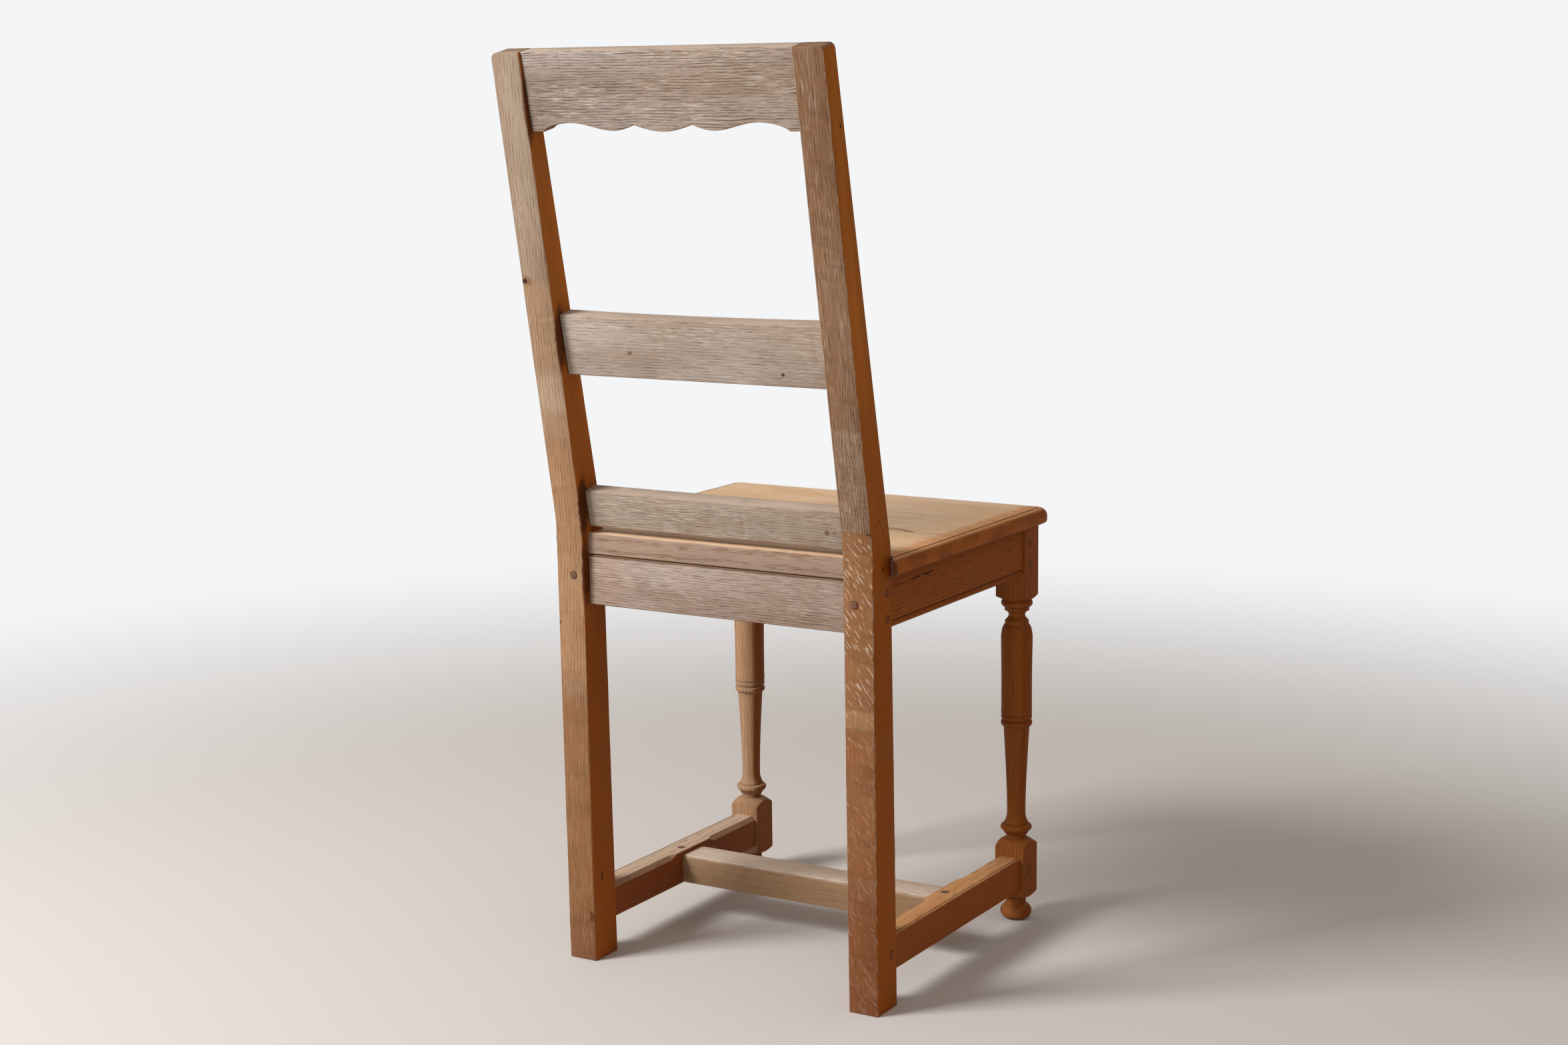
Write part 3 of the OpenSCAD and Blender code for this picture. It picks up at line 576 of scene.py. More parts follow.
# The lowest millimetre of each rear foot is painted almost black.
dark_foot_sole = (UP, -0.1, 0.0006, 0.0006, srgb(40, 28, 20), 0.9)
nail = srgb(44, 22, 12)
shade = srgb(70, 30, 12)
left_oak = oak(
    "oak_left_post", srgb(172, 152, 132), srgb(152, 127, 104), srgb(120, 88, 64), honey_side,
    rows=0.38, row_gap=3.4, wave=3.5, pith=(0.015, 0.075), tilt=0.07, dashes=0.3, lime=0.14,
    arris=(srgb(128, 78, 44), 0.5), pegs=pegs_near(LEFT),
    tones=[(UP, 0.560, 0.722, 0.002, srgb(172, 137, 108), 0.8),
           (UP, 0.588, 0.626, 0.006, srgb(190, 166, 144), 0.5),
           (UP, 0.300, 0.560, 0.010, srgb(172, 128, 90), 0.85),
           (UP, -0.1, 0.300, 0.030, srgb(147, 99, 59), 0.9),
           (UP, -0.1, 0.050, 0.020, srgb(126, 80, 48), 0.6),
           dark_foot_sole],
    marks=[(on_back(0.181, 0.7215), (0.010, 0.012, 0.007), srgb(138, 98, 66), 0.8),
           (on_back(0.1832, 0.7216), (0.0042, 0.008, 0.0036), srgb(44, 30, 22), 0.95),
           ((0.157, 0.14, 0.049), (0.004, 0.006, 0.007), srgb(84, 46, 24), 0.8),
           ((0.1535, 0.124, 0.090), (0.003, 0.0025, 0.006), srgb(58, 26, 10), 0.85),
           ((0.186, 0.144, 0.365), (0.004, 0.004, 0.003), srgb(96, 58, 32), 0.8),
           # Painted shade on the left post's inner face beside the rails and the rear apron, which keep the
           # light off it.
           (on_back(leg_in, 0.897, 6 * MM), (0.003, 0.012, 0.056), shade, 0.8),
           (on_back(leg_in, 0.664, 6 * MM), (0.003, 0.012, 0.044), shade, 0.8),
           (on_back(leg_in, 0.488, 6 * MM), (0.003, 0.012, 0.042), shade, 0.9),
           (on_back(leg_in, 0.420, 4 * MM), (0.003, 0.010, 0.045), shade, 0.8)])
right_oak = oak(
    "oak_right_post", srgb(153, 120, 93), srgb(133, 97, 69), srgb(90, 60, 40), honey_side,
    rows=0.28, row_gap=2.2, wave=1.4, pith=(-0.10, 0.12), dashes=0.36, lime=0.24, flecks=0.487,
    arris=(srgb(190, 172, 150), 0.7), pegs=pegs_near(RIGHT),
    tones=[(UP, 0.589, 0.689, 0.0015, srgb(138, 101, 76), 0.6),
           (UP, 0.487, 0.589, 0.0015, srgb(154, 126, 104), 0.6),
           (UP, 0.310, 0.487, 0.0012, srgb(150, 103, 66), 0.92),
           (UP, 0.292, 0.310, 0.003, srgb(168, 124, 86), 0.9),
           (UP, 0.140, 0.292, 0.004, srgb(146, 94, 58), 0.94),
           (UP, -0.1, 0.140, 0.030, srgb(134, 80, 46), 0.94),
           dark_foot_sole],
    marks=[((-0.160, 0.147, 0.4872), (0.034, 0.006, 0.0009), srgb(120, 74, 46), 0.35),
           ((-0.184, 0.147, 0.487), (0.004, 0.004, 0.0015), srgb(84, 44, 26), 0.8),
           ((-leg_out, 0.199, 0.874), (0.0015, 0.0017, 0.0034), nail, 0.95),
           ((-leg_out, 0.130, 0.498), (0.0015, 0.0017, 0.0024), nail, 0.95),
           ((-leg_out, 0.123, 0.487), (0.0015, 0.0017, 0.002), nail, 0.9),
           ((-leg_out, 0.123, 0.449), (0.0015, 0.0017, 0.0034), nail, 0.95)])
make_piece(rear_leg(LEFT, seed=1.0, arris=1.1 * MM, chip=0.2 * MM), "left_rear_leg", left_oak,
           "rear_leg_left")
make_piece(rear_leg(RIGHT, seed=2.0, arris=1.1 * MM, chip=0.7 * MM), "right_rear_leg", right_oak,
           "rear_leg_right")

# %% [markdown]
# ## Back rails
# Three rails are let in between the posts, and lean with them. The crest rail has a scalloped lower edge:
# a flat at each end, an arch, a lobe on each side and a wider lobe in the middle, with a point between the
# lobes. Its blank is cut across every millimetre, and its lower arris is lifted to the scallops' height.

# %% The scalloped edge
def ease_in_out(t):
    return (1 - cos(pi * t)) / 2


def scallop(x, half_span):
    """How far the crest rail's lower edge rises at a distance from the middle."""
    cusp_x, cusp_rise, lobe_x, lobe_rise = 33 * MM, 6.3 * MM, 57 * MM, 0.9 * MM
    arch_x, arch_rise, flat = 106 * MM, 8.6 * MM, 14.5 * MM
    x, end = abs(x), half_span - flat
    if x < cusp_x:
        return cusp_rise * (1 - cos(pi / 2 * x / cusp_x))
    if x < lobe_x:
        return lobe_rise + (cusp_rise - lobe_rise) * (1 - sin(pi / 2 * (x - cusp_x) / (lobe_x - cusp_x)))
    if x < arch_x:
        return lobe_rise + (arch_rise - lobe_rise) * ease_in_out((x - lobe_x) / (arch_x - lobe_x))
    if x < end:
        return arch_rise * (1 - ((x - arch_x) / (end - arch_x)) ** 2) ** 0.75
    return 0.0


# %% The three back rails
RAIL_ARRIS = 1.3 * MM


def back_rail(low_up, height, front, thick, seed, spacing, edge=None, sag=0.0):
    """A rail between the posts: low_up is how far up the posts it starts, front how far behind them."""
    bm = blank(2 * leg_in, height, thick, arris=RAIL_ARRIS)
    cut_across(bm, spacing)
    wear(bm, height, thick, RAIL_ARRIS, 0.3 * MM, seed, 0.25 * MM)
    for v in bm.verts:
        x = v.co.x - leg_in
        if edge and v.co.y < height / 2:
            v.co.y += edge(x, leg_in)
        v.co.y -= sag * (v.co.y / height) * (1 - (x / leg_in) ** 2)
    mark_grain(bm, seed)
    for v in bm.verts:
        v.co = post_point(v.co.x - leg_in, low_up + v.co.y, front + v.co.z)
    return bm


# %% The rails' finishes, and the rails
rail_top = srgb(206, 184, 166)
# Dark joint lines at the rails' ends, and painted shade along the rear apron's top under the seat.
joint_dirt_and_shade = srgb(52, 34, 24)
shoulders = [(ACROSS, leg_in - 1.4 * MM, 1.0, 0.3 * MM, joint_dirt_and_shade, 0.8),
             (ACROSS, -1.0, 0.4 * MM - leg_in, 0.3 * MM, joint_dirt_and_shade, 0.6)]
rail_way = (0, -0.2, 0.98)
rail_arris = (srgb(206, 170, 138), 0.5)
crest_oak = oak("oak_crest_rail", srgb(171, 157, 147), srgb(148, 129, 115), srgb(92, 76, 67), rail_top,
                side_way=rail_way, deepen=0.0, rows=0.75, row_gap=2.1, wave=5.0, pith=(-0.26, 0.05),
                dashes=0.42, lime=0.45, arris=rail_arris,
                tones=[(ACROSS, -0.16, 0.02, 0.05, srgb(176, 144, 116), 0.25)] + shoulders)
middle_oak = oak("oak_middle_rail", srgb(188, 175, 165), srgb(168, 149, 134), srgb(118, 96, 80), rail_top,
                 side_way=rail_way, deepen=0.0, rows=0.32, row_gap=2.6, wave=2.4, pith=(-0.22, 0.08),
                 dashes=0.34, lime=0.5, arris=rail_arris,
                 tones=[(ACROSS, -0.2, -0.07, 0.06, srgb(164, 142, 124), 0.6)] + shoulders,
                 marks=[(on_back(0.074, 0.652), (0.0045, 0.030, 0.0025), srgb(120, 80, 56), 0.8),
                        (on_back(-0.101, 0.638), (0.003, 0.030, 0.0022), srgb(80, 48, 32), 0.95)])
lower_oak = oak("oak_lower_rail", srgb(181, 165, 151), srgb(158, 138, 121), srgb(112, 90, 74), rail_top,
                side_way=rail_way, deepen=0.0, rows=0.36, row_gap=2.4, wave=2.4, pith=(-0.2, 0.06),
                dashes=0.45, lime=0.45, arris=(srgb(196, 160, 128), 0.5),
                tones=[(ACROSS, -0.2, -0.08, 0.05, srgb(150, 129, 112), 0.6)] + shoulders,
                marks=[((-0.1306, 0.133, 0.482), (0.0042, 0.006, 0.0036), srgb(124, 90, 68), 0.7),
                       ((-0.1306, 0.133, 0.482), (0.0018, 0.006, 0.0016), srgb(92, 60, 44), 0.6),
                       ((-0.1385, 0.133, 0.483), (0.0028, 0.006, 0.0028), srgb(126, 94, 72), 0.6)])
CREST_H = 78.5 * MM
crest_bm = back_rail(low_up=post_len - CREST_H, height=CREST_H, front=0, thick=19.5 * MM, seed=3.0,
                     spacing=1 * MM, edge=scallop)
middle_bm = back_rail(low_up=164 * MM, height=63 * MM, front=1 * MM, thick=20 * MM, seed=4.0,
                      spacing=5 * MM, sag=1.6 * MM)
lower_bm = back_rail(low_up=1 * MM, height=39 * MM, front=4 * MM, thick=20 * MM, seed=5.0,
                     spacing=5 * MM)
make_piece(crest_bm, "crest_rail_shaped", crest_oak, "crest_rail")
make_piece(middle_bm, "middle_rail_shaped", middle_oak, "middle_rail")
make_piece(lower_bm, "lower_rail_shaped", lower_oak, "lower_rail")

# %% [markdown]
# ## Seat board
# The seat is a board twenty-two millimetres thick. A round nose with a small groove inside it, the quirk,
# runs along its front and sides, and a bevel under the nose makes it look thinner. The outline is drawn
# once as a loop of edges, and each later loop is an extrusion of the last: out and up along the bevel,
# round the nose, down and up through the quirk. The board is drawn too long and moulded all round. The
# rear edge and the notches round the legs are then cut away, which leaves a slantwise ear beside each.

# %% The moulded board
NOSE_TOP, NOSE_LOW, QUIRK_W, QUIRK_D = 9 * MM, 3.5 * MM, 1.2 * MM, 1.3 * MM
UNDER_W, UNDER_SLOPE = 15 * MM, 0.45
CORNER_R, SPARE, EAR_TIP = 15 * MM, 40 * MM, 2.5 * MM


def nose_profile():
    """Pairs of distance in from the edge and height, from the underside to the flat top."""
    bevel = atan(UNDER_SLOPE)
    lip_z = leg_top + UNDER_SLOPE * (UNDER_W - NOSE_LOW) + NOSE_LOW / cos(bevel)
    turns = [bevel + (pi / 2 - bevel) * i / 6 for i in range(7)]
    low = [(UNDER_W, leg_top)] + [(NOSE_LOW * (1 - sin(a)), lip_z - NOSE_LOW * cos(a)) for a in turns]
    top = [(NOSE_TOP * (1 - cos(radians(a))), seat_high.z - NOSE_TOP * (1 - sin(radians(a))))
           for a in range(0, 86, 8)]
    edge = NOSE_TOP
    quirk = [(edge - 0.4 * MM, seat_high.z - 0.15 * MM), (edge, seat_high.z - 0.5 * MM),
             (edge + 0.1 * MM, seat_high.z - QUIRK_D), (edge + QUIRK_W - 0.3 * MM, seat_high.z - QUIRK_D),
             (edge + QUIRK_W, seat_high.z - QUIRK_D + 0.3 * MM),
             (edge + QUIRK_W, seat_high.z - 0.4 * MM), (edge + QUIRK_W + 0.4 * MM, seat_high.z)]
    return low + top + quirk


def board_outline(inset):
    """The outline moved inwards, with as many points at every inset."""
    corner = max(CORNER_R - inset, 1 * MM)
    x, front, back = seat_high.x - inset, seat_low.y + inset, seat_high.y + SPARE - inset
    points = []
    for cx, cy, start in ((x, back, 0), (-x, back, 90), (-x, front, 180), (x, front, 270)):
        mid = Vector((cx - corner * (1 if cx > 0 else -1), cy - corner * (1 if cy > 0 else -1), 0))
        points += [mid + corner * Vector((cos(radians(start + a)), sin(radians(start + a)), 0))
                   for a in range(0, 91, 15)]
    return points


def seat_board():
    bm = bmesh.new()
    profile = nose_profile()
    inset, z = profile[0]
    loop = [bm.verts.new(p + Vector((0, 0, z))) for p in board_outline(inset)]
    edges = [bm.edges.new((a, b)) for a, b in zip(loop, loop[1:] + loop[:1])]
    bmesh.ops.contextual_create(bm, geom=edges)
    for inset, z in profile[1:]:
        grown = bmesh.ops.extrude_edge_only(bm, edges=edges)["geom"]
        edges = [g for g in grown if isinstance(g, bmesh.types.BMEdge)]
        fresh = [g for g in grown if isinstance(g, bmesh.types.BMVert)]
        for v, p in zip(fresh, board_outline(inset)):
            v.co = p + Vector((0, 0, z))
    bmesh.ops.contextual_create(bm, geom=edges)
    return bm


# %% Cut the rear edge and the notches round the legs
def prism(points, way):
    """A solid whose ends are a face through the points and the same face moved along the way."""
    bm = bmesh.new()
    face = bm.faces.new([bm.verts.new(point) for point in points])
    grown = bmesh.ops.extrude_face_region(bm, geom=[face])["geom"]
    bmesh.ops.translate(bm, vec=way, verts=[g for g in grown if isinstance(g, bmesh.types.BMVert)])
    bmesh.ops.recalc_face_normals(bm, faces=bm.faces)
    return bm


def cut_away(bm, outlines):
    """Takes tall prisms out of a solid with the Boolean modifier, and gives back its bmesh."""
    board = into_scene(bm, "work")
    cutters = [into_scene(prism([(x, y, 0) for x, y in outline], (0, 0, 1)), "cutter")
               for outline in outlines]
    for cutter in cutters:
        cut = board.modifiers.new("cut", "BOOLEAN")
        cut.object, cut.operation, cut.solver = cutter, "DIFFERENCE", "EXACT"
    done = bmesh.new()
    depsgraph = bpy.context.evaluated_depsgraph_get()
    done.from_mesh(board.evaluated_get(depsgraph).to_mesh())
    for item in [board] + cutters:
        bpy.data.objects.remove(item)
    return done


notch_gap = 0.6 * MM
rear_edge = bend_back - 10 * MM
ear_end = bend_front + 17 * MM
notch_front = leg_front(leg_top) - notch_gap
far = 0.3
outlines = [[(-far, rear_edge), (far, rear_edge), (far, far), (-far, far)]]
for side in SIDES.values():
    inner, outer = side * (leg_in - notch_gap), side * (leg_out + notch_gap)
    tip, beyond = side * (seat_high.x - EAR_TIP), side * far
    outlines.append([(inner, notch_front), (outer, notch_front), (tip, ear_end), (beyond, ear_end),
                     (beyond, far), (inner, far)][::side])
seat_bm = cut_away(seat_board(), outlines)
print("seat faces after the cuts:", len(seat_bm.faces))
rear_edges = [e for e in seat_bm.edges if all(abs(v.co.y - rear_edge) < 0.1 * MM for v in e.verts)
              and abs(e.verts[0].co.z - e.verts[1].co.z) < 0.1 * MM]
round_off(seat_bm, rear_edges, 1.6 * MM)
mark_grain(seat_bm, 6.0)

# %% Painted shade in the quirk, and the seat's finish
layer = seat_bm.verts.layers.float.new("quirk")
for v in seat_bm.verts:
    edge = min(seat_high.x - abs(v.co.x), v.co.y - seat_low.y)
    in_quirk = NOSE_TOP - 0.2 * MM < edge < NOSE_TOP + QUIRK_W + 0.2 * MM
    v[layer] = 1.0 if in_quirk and 0.4 * MM < seat_high.z - v.co.z < 2 * MM else 0.0
# The nose's orange is deeper than the wood's own: partly its end grain, partly painted warm light in its
# shade.
nose_oak = srgb(176, 94, 28)
# The ears' rear ends are painted dark brown: painted shadow of the rear posts.
ear_shadow_reach, ear_end_shadow_tone = (0.020, 0.006, 0.022), srgb(92, 50, 22)
# The seat's pale colours are partly its own and partly painted light for the strong light on its top.
seat_oak = oak("oak_seat", srgb(250, 218, 184), srgb(240, 196, 152), srgb(132, 94, 66),
               srgb(178, 154, 136), side_way=(0, 1, 0), deepen=0.0, side_lines=2.2, rows=0.22,
               row_gap=5.0, wave=5.0, pith=(0.2, -0.30), dashes=0.25, lime=0.3, gloss=0.5, relief=0.7,
               ends=((1, 0, 0), nose_oak), front=nose_oak,
               tones=[(BACK, -0.022, 0.2, 0.002, srgb(250, 212, 174), 0.7),
                      (ACROSS, -0.3, -0.130, 0.030, srgb(248, 200, 150), 0.5),
                      (ACROSS, -0.3, -0.176, 0.008, srgb(222, 142, 70), 0.75)],
               marks=[((-0.137, -0.022, 0.460), (0.010, 0.003, 0.004), srgb(70, 44, 30), 0.9),
                      ((-0.118, -0.026, 0.460), (0.022, 0.005, 0.004), srgb(140, 96, 66), 0.7),
                      ((-0.090, -0.030, 0.460), (0.060, 0.010, 0.004), srgb(176, 132, 96), 0.5),
                      ((-0.17, -0.021, 0.460), (0.05, 0.0012, 0.004), srgb(150, 104, 70), 0.5),
                      ((-0.196, 0.125, 0.449), ear_shadow_reach, ear_end_shadow_tone, 0.95),
                      ((0.196, 0.125, 0.449), ear_shadow_reach, ear_end_shadow_tone, 0.95)])
make_piece(seat_bm, "moulded_seat", seat_oak, "seat_board")

# %% [markdown]
# ## Aprons
# The aprons stiffen the seat between the legs. The rear one is plain. The side and front ones carry a bead
# with a quirk above it along their lower edge, which a scratch stock cuts in one pass, so they are made the
# same way: the section is drawn once and run along the piece.

# %% Run a section along its grain
def moulded_bar(section, length, spacing, arris, min_angle=50):
    """A section of (y, z) points run along X, with its sharp long arrises softened."""
    bm = prism([(0, y, z) for y, z in section], (length, 0, 0))
    hard = [e for e in long_edges(bm) if e.calc_face_angle() > radians(min_angle)]
    round_off(bm, hard, arris, 2, clamp=True)
    cut_across(bm, spacing)
    return bm


def lie(bm, function):
    """Carries every point of a blank to its place on the chair."""
    for v in bm.verts:
        v.co = function(v.co.copy())
    return bm


# %% The rear apron
rear_apron_oak = oak("oak_rear_apron", srgb(182, 164, 153), srgb(158, 134, 118), srgb(112, 91, 79),
                     srgb(180, 140, 106), side_way=(0, 0, 1), deepen=0.0, rows=0.6, row_gap=2.4, wave=3.0,
                     pith=(-0.12, 0.04), dashes=0.5, lime=0.32, arris=(srgb(120, 84, 58), 0.5),
                     tones=[(ACROSS, 0.11, 0.3, 0.02, srgb(178, 146, 120), 0.5),
                            # The top 1.5 mm of the rear apron is darkened as painted shade in the gap under
                            # the seat.
                            (UP, apron_high.z - 1.5 * MM, 1.0, 0.3 * MM, joint_dirt_and_shade, 0.9)] + shoulders)
apron_h, apron_t, apron_arris = apron_high.z - apron_low.z, 20 * MM, 1.1 * MM
bm = blank(2 * leg_in, apron_h, apron_t, arris=apron_arris)
cut_across(bm, 5 * MM)
mark_grain(bm, 7.0)
wear(bm, apron_h, apron_t, apron_arris, 0.3 * MM, 7.0, 0.3 * MM)
lie(bm, lambda p: Vector((p.x - leg_in, rear_edge - apron_t + p.z, apron_low.z + p.y)))
make_piece(bm, "rear_apron_board", rear_apron_oak, "rear_apron")

# %% The beaded aprons
BEAD_H = 6.5 * MM
beaded_low, beaded_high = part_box("side_apron_left")
beaded_z, beaded_h, apron_out = beaded_low.z, beaded_high.z - beaded_low.z, beaded_high.x


def beaded_section():
    """Height and thickness: the outer face is at 0 and the body runs to minus the apron's thickness."""
    r = BEAD_H / 2
    bead = [(r + r * sin(radians(a)), -r + r * cos(radians(a))) for a in range(-84, 61, 12)]
    return [(beaded_h, 0), (beaded_h, -apron_t), (0, -apron_t), (0, -r)] + bead + [
        (BEAD_H, -QUIRK_D), (BEAD_H + QUIRK_W, -QUIRK_D), (BEAD_H + QUIRK_W, 0)]


def mark_quirk(bm, low, high, in_from):
    """Marks the points inside a bar's small groove, which the finish darkens as painted shade."""
    layer = bm.verts.layers.float.new("quirk")
    for v in bm.verts:
        v[layer] = 1.0 if low < v.co.y < high and v.co.z < -in_from else 0.0


def apron_bar(length, seed):
    bm = moulded_bar(beaded_section(), length, 6 * MM, 0.3 * MM)
    mark_grain(bm, seed)
    mark_quirk(bm, BEAD_H - 0.6 * MM, BEAD_H + QUIRK_W + 0.2 * MM, 0.6 * MM)
    return bm


def fit_to_rear_leg(bm):
    """Saws a bar off along the slanting front of the rear leg, and closes the end."""
    square_to_leg = Vector((0, bend_z, -(leg_front(bend_z) - leg_front(0))))
    bmesh.ops.bisect_plane(bm, geom=bm.verts[:] + bm.edges[:] + bm.faces[:], clear_outer=True,
                           plane_co=(0, leg_front(0) - 0.05 * MM, 0), plane_no=square_to_leg)
    bmesh.ops.holes_fill(bm, edges=[e for e in bm.edges if e.is_boundary], sides=0)


crack = srgb(34, 17, 8)
left_apron_oak = oak("oak_side_apron_left", srgb(196, 156, 120), srgb(176, 134, 98), srgb(112, 76, 50),
                     srgb(186, 128, 78), side_lines=0.9, rows=0.3, row_gap=4.0, wave=4.0,
                     pith=(0.12, 0.07), dashes=0.5, lime=0.2)
right_apron_oak = oak("oak_side_apron", srgb(196, 116, 50), srgb(176, 98, 38), srgb(96, 52, 24),
                      srgb(192, 112, 46), side_lines=0.9, rows=0.25, row_gap=4.0, wave=4.0,
                      pith=(0.10, 0.06), dashes=0.5, lime=0.05,
                      tones=[(BACK, -0.4, -0.13, 0.03, srgb(178, 96, 36), 0.6)],
                      marks=[((-0.186, 0.030, 0.4304), (0.004, 0.016, 0.0014), crack, 0.95),
                             ((-0.186, 0.056, 0.4298), (0.004, 0.018, 0.0011), crack, 0.9),
                             ((-0.186, 0.090, 0.4290), (0.004, 0.020, 0.0009), crack, 0.7)])
SQUARE = 35 * MM    # the front legs' blank
leg_rear = block_low.y + SQUARE
for name, side in SIDES.items():
    bm = apron_bar(bend_back - leg_rear, 8.0 + side)
    lie(bm, lambda p: Vector((side * (apron_out + p.z), leg_rear + p.x, beaded_z + p.y)))
    fit_to_rear_leg(bm)
    make_piece(bm, "side_apron_board_" + name, left_apron_oak if side == LEFT else right_apron_oak,
               "side_apron_" + name)

# %% The front apron
front_apron_y = block_low.y + 10 * MM
bm = apron_bar(2 * block_low.x, 11.0)
lie(bm, lambda p: Vector((p.x - block_low.x, front_apron_y - p.z, beaded_z + p.y)))
front_apron_oak = oak("oak_front_apron", srgb(204, 150, 98), srgb(182, 122, 72), srgb(112, 68, 38),
                      srgb(190, 126, 70), side_way=(0, 0, 1), side_lines=0.5, rows=0.3, row_gap=3.6,
                      pith=(0.10, 0.06), dashes=0.5, lime=0.15)
make_piece(bm, "front_apron_board", front_apron_oak, "front_apron")

# %% [markdown]
# ## Front legs
# A front leg starts as a square blank. The turner leaves it square where the aprons and stretchers join it,
# and turns the rest. Here the order is the other way round: the whole leg is spun from a profile that is
# wider than the blank at the two blocks, and then each point that stands outside the square is planed back
# to it. Where the round profile cuts through the flat faces, the curved shoulders appear by themselves.

# %% The profile of the turning
TURN_R = 17.2 * MM
CLEAR_R = 0.72 * SQUARE
low_block = 27 * MM
turn_low = low_block + 62 * MM
turn_high = leg_top - 77.5 * MM
column_low, column_high = turn_low + 33 * MM, turn_high - 142.4 * MM


def from_radius(pairs, z):
    """Pairs of depth below the largest radius and height above z, in millimetres."""
    return [(TURN_R - depth * MM, z + up * MM) for depth, up in pairs]


foot = [(0.0, 0.0)] + [(TURN_R * cos(radians(a)) ** 0.8, (8.5 + 10.5 * sin(radians(a))) * MM)
                       for a in range(-54, 55, 9)]
foot += from_radius([(6.4, 20), (6.2, 22), (6, 24), (3.6, 25.6), (0.2, 27)], 0)
lower_block = [(CLEAR_R, low_block + 3 * MM), (CLEAR_R, turn_low - 5.5 * MM),
               (TURN_R + 0.5 * MM, turn_low),
               (TURN_R - 3 * MM, turn_low + 2.1 * MM), (TURN_R - 6.9 * MM, turn_low + 3.3 * MM)]
low_moulding = from_radius([(6.9, 4), (6.2, 4.2), (6.2, 6.6), (6.9, 7), (5.2, 7.4), (3.4, 10.3),
                            (2.2, 11.5), (1.2, 12.6), (0.4, 13.7), (0, 14.8), (0.1, 16), (0.5, 17),
                            (1.2, 17.9), (2.2, 18.6), (4.2, 19.2), (3.7, 19.8), (4.1, 20.8), (4.8, 22),
                            (6, 25), (6.9, 28.5)], turn_low)
column = [(TURN_R - 7.1 * MM + 4.1 * MM * (i / 12) ** 1.5, column_low + (column_high - column_low) * i / 12)
          for i in range(13)]
rings = from_radius([(2.7, -142), (2.2, -141.7), (1.2, -141.2), (0.5, -140.3), (0.15, -139.2),
                     (0.1, -138.1), (0.2, -137), (0.6, -136.1), (1.2, -135.6), (2.1, -135.2),
                     (2.1, -134.3), (0.9, -133.8), (0.5, -133.2), (0.35, -131.6), (0.4, -130.1),
                     (0.8, -129.7), (1.3, -129.4), (1.3, -128.8), (0.6, -128.4), (0.3, -127.7),
                     (0.5, -120), (0.5, -110), (0.5, -90), (0.3, -70), (0, -48), (0, -41), (0.7, -36),
                     (1.2, -33.6), (1.9, -31.5), (2.5, -30.2), (3.2, -29.2), (4.5, -28)], turn_high)
top_moulding = from_radius([(4.4, -27.2), (4.1, -25.9), (4.3, -24.3), (5.8, -22.6), (7.3, -20.9),
                            (8.2, -19), (8.3, -17.6), (7.8, -16), (6.7, -14.6), (5.5, -13.6),
                            (3.8, -12.9), (3.8, -9.9), (3, -9.2), (1.9, -8.3), (1.1, -7.5), (0.4, -6.4),
                            (0.1, -5.5), (0.1, -4.3), (0.3, -3.2), (0.8, -2.2), (1.6, -1.5), (1.6, -0.2)],
                           turn_high)
upper_block = [(TURN_R + 0.4 * MM, turn_high + 0.3 * MM), (CLEAR_R, turn_high + 3.8 * MM),
               (CLEAR_R, leg_top), (0.5 * CLEAR_R, leg_top), (0.0, leg_top)]
leg_profile = foot + lower_block + low_moulding + column + rings + top_moulding + upper_block
print("profile points:", len(leg_profile))


# %% Spin it and plane the two blocks square
def finely(points):
    """Adds points between the profile's own: close together where round meets square, wider elsewhere."""
    result = [points[0]]
    meetings = ((low_block, 5 * MM), (turn_low - 2 * MM, 6 * MM), (turn_high + 2 * MM, 5 * MM))
    for (r0, z0), (r1, z1) in zip(points, points[1:]):
        close = any(abs((z0 + z1) / 2 - z) < reach for z, reach in meetings)
        step = 0.5 * MM if close else 4 * MM
        count = max(1, round(Vector((r1 - r0, z1 - z0)).length / step))
        result += [(r0 + (r1 - r0) * i / count, z0 + (z1 - z0) * i / count) for i in range(1, count + 1)]
    return result


def soft_min(a, b, blend):
    """The smaller of two sizes, with the corner between them eased."""
    low, high = min(a, b), max(a, b)
    return low - blend * log(1 + exp((low - high) / blend))


def turned_leg(steps=144, corner=34):
    """A leg on the Z axis. The higher the corner number, the sharper the corners of its two blocks."""
    bm = bmesh.new()
    chain = [bm.verts.new((r, 0, z)) for r, z in finely(leg_profile)]
    edges = [bm.edges.new(pair) for pair in zip(chain, chain[1:])]
    bmesh.ops.spin(bm, geom=chain + edges, cent=(0, 0, 0), axis=(0, 0, 1), dvec=(0, 0, 0), angle=2 * pi,
                   steps=steps, use_merge=True, use_duplicate=False)
    bmesh.ops.remove_doubles(bm, verts=bm.verts, dist=0.01 * MM)
    half = SQUARE / 2
    for v in bm.verts:
        r = Vector((v.co.x, v.co.y)).length
        if r > 8 * MM:
            c, s = abs(v.co.x) / r, abs(v.co.y) / r
            square = half / (c ** corner + s ** corner) ** (1 / corner)
            scale = soft_min(r, square, 0.12 * MM) / r
            v.co.x *= scale
            v.co.y *= scale
    return bm


def scribe_to_seat(bm):
    """Lifts the top of a front leg into the bevel under the seat's edge."""
    for v in bm.verts:
        if v.co.z > leg_top - 0.5 * MM:
            over = UNDER_W - min(seat_high.x - abs(v.co.x), v.co.y - seat_low.y)
            v.co.z += max(0.0, over) * UNDER_SLOPE


# %% The two front legs
leg_x = (block_low.x + block_high.x) / 2
leg_y = block_low.y + SQUARE / 2
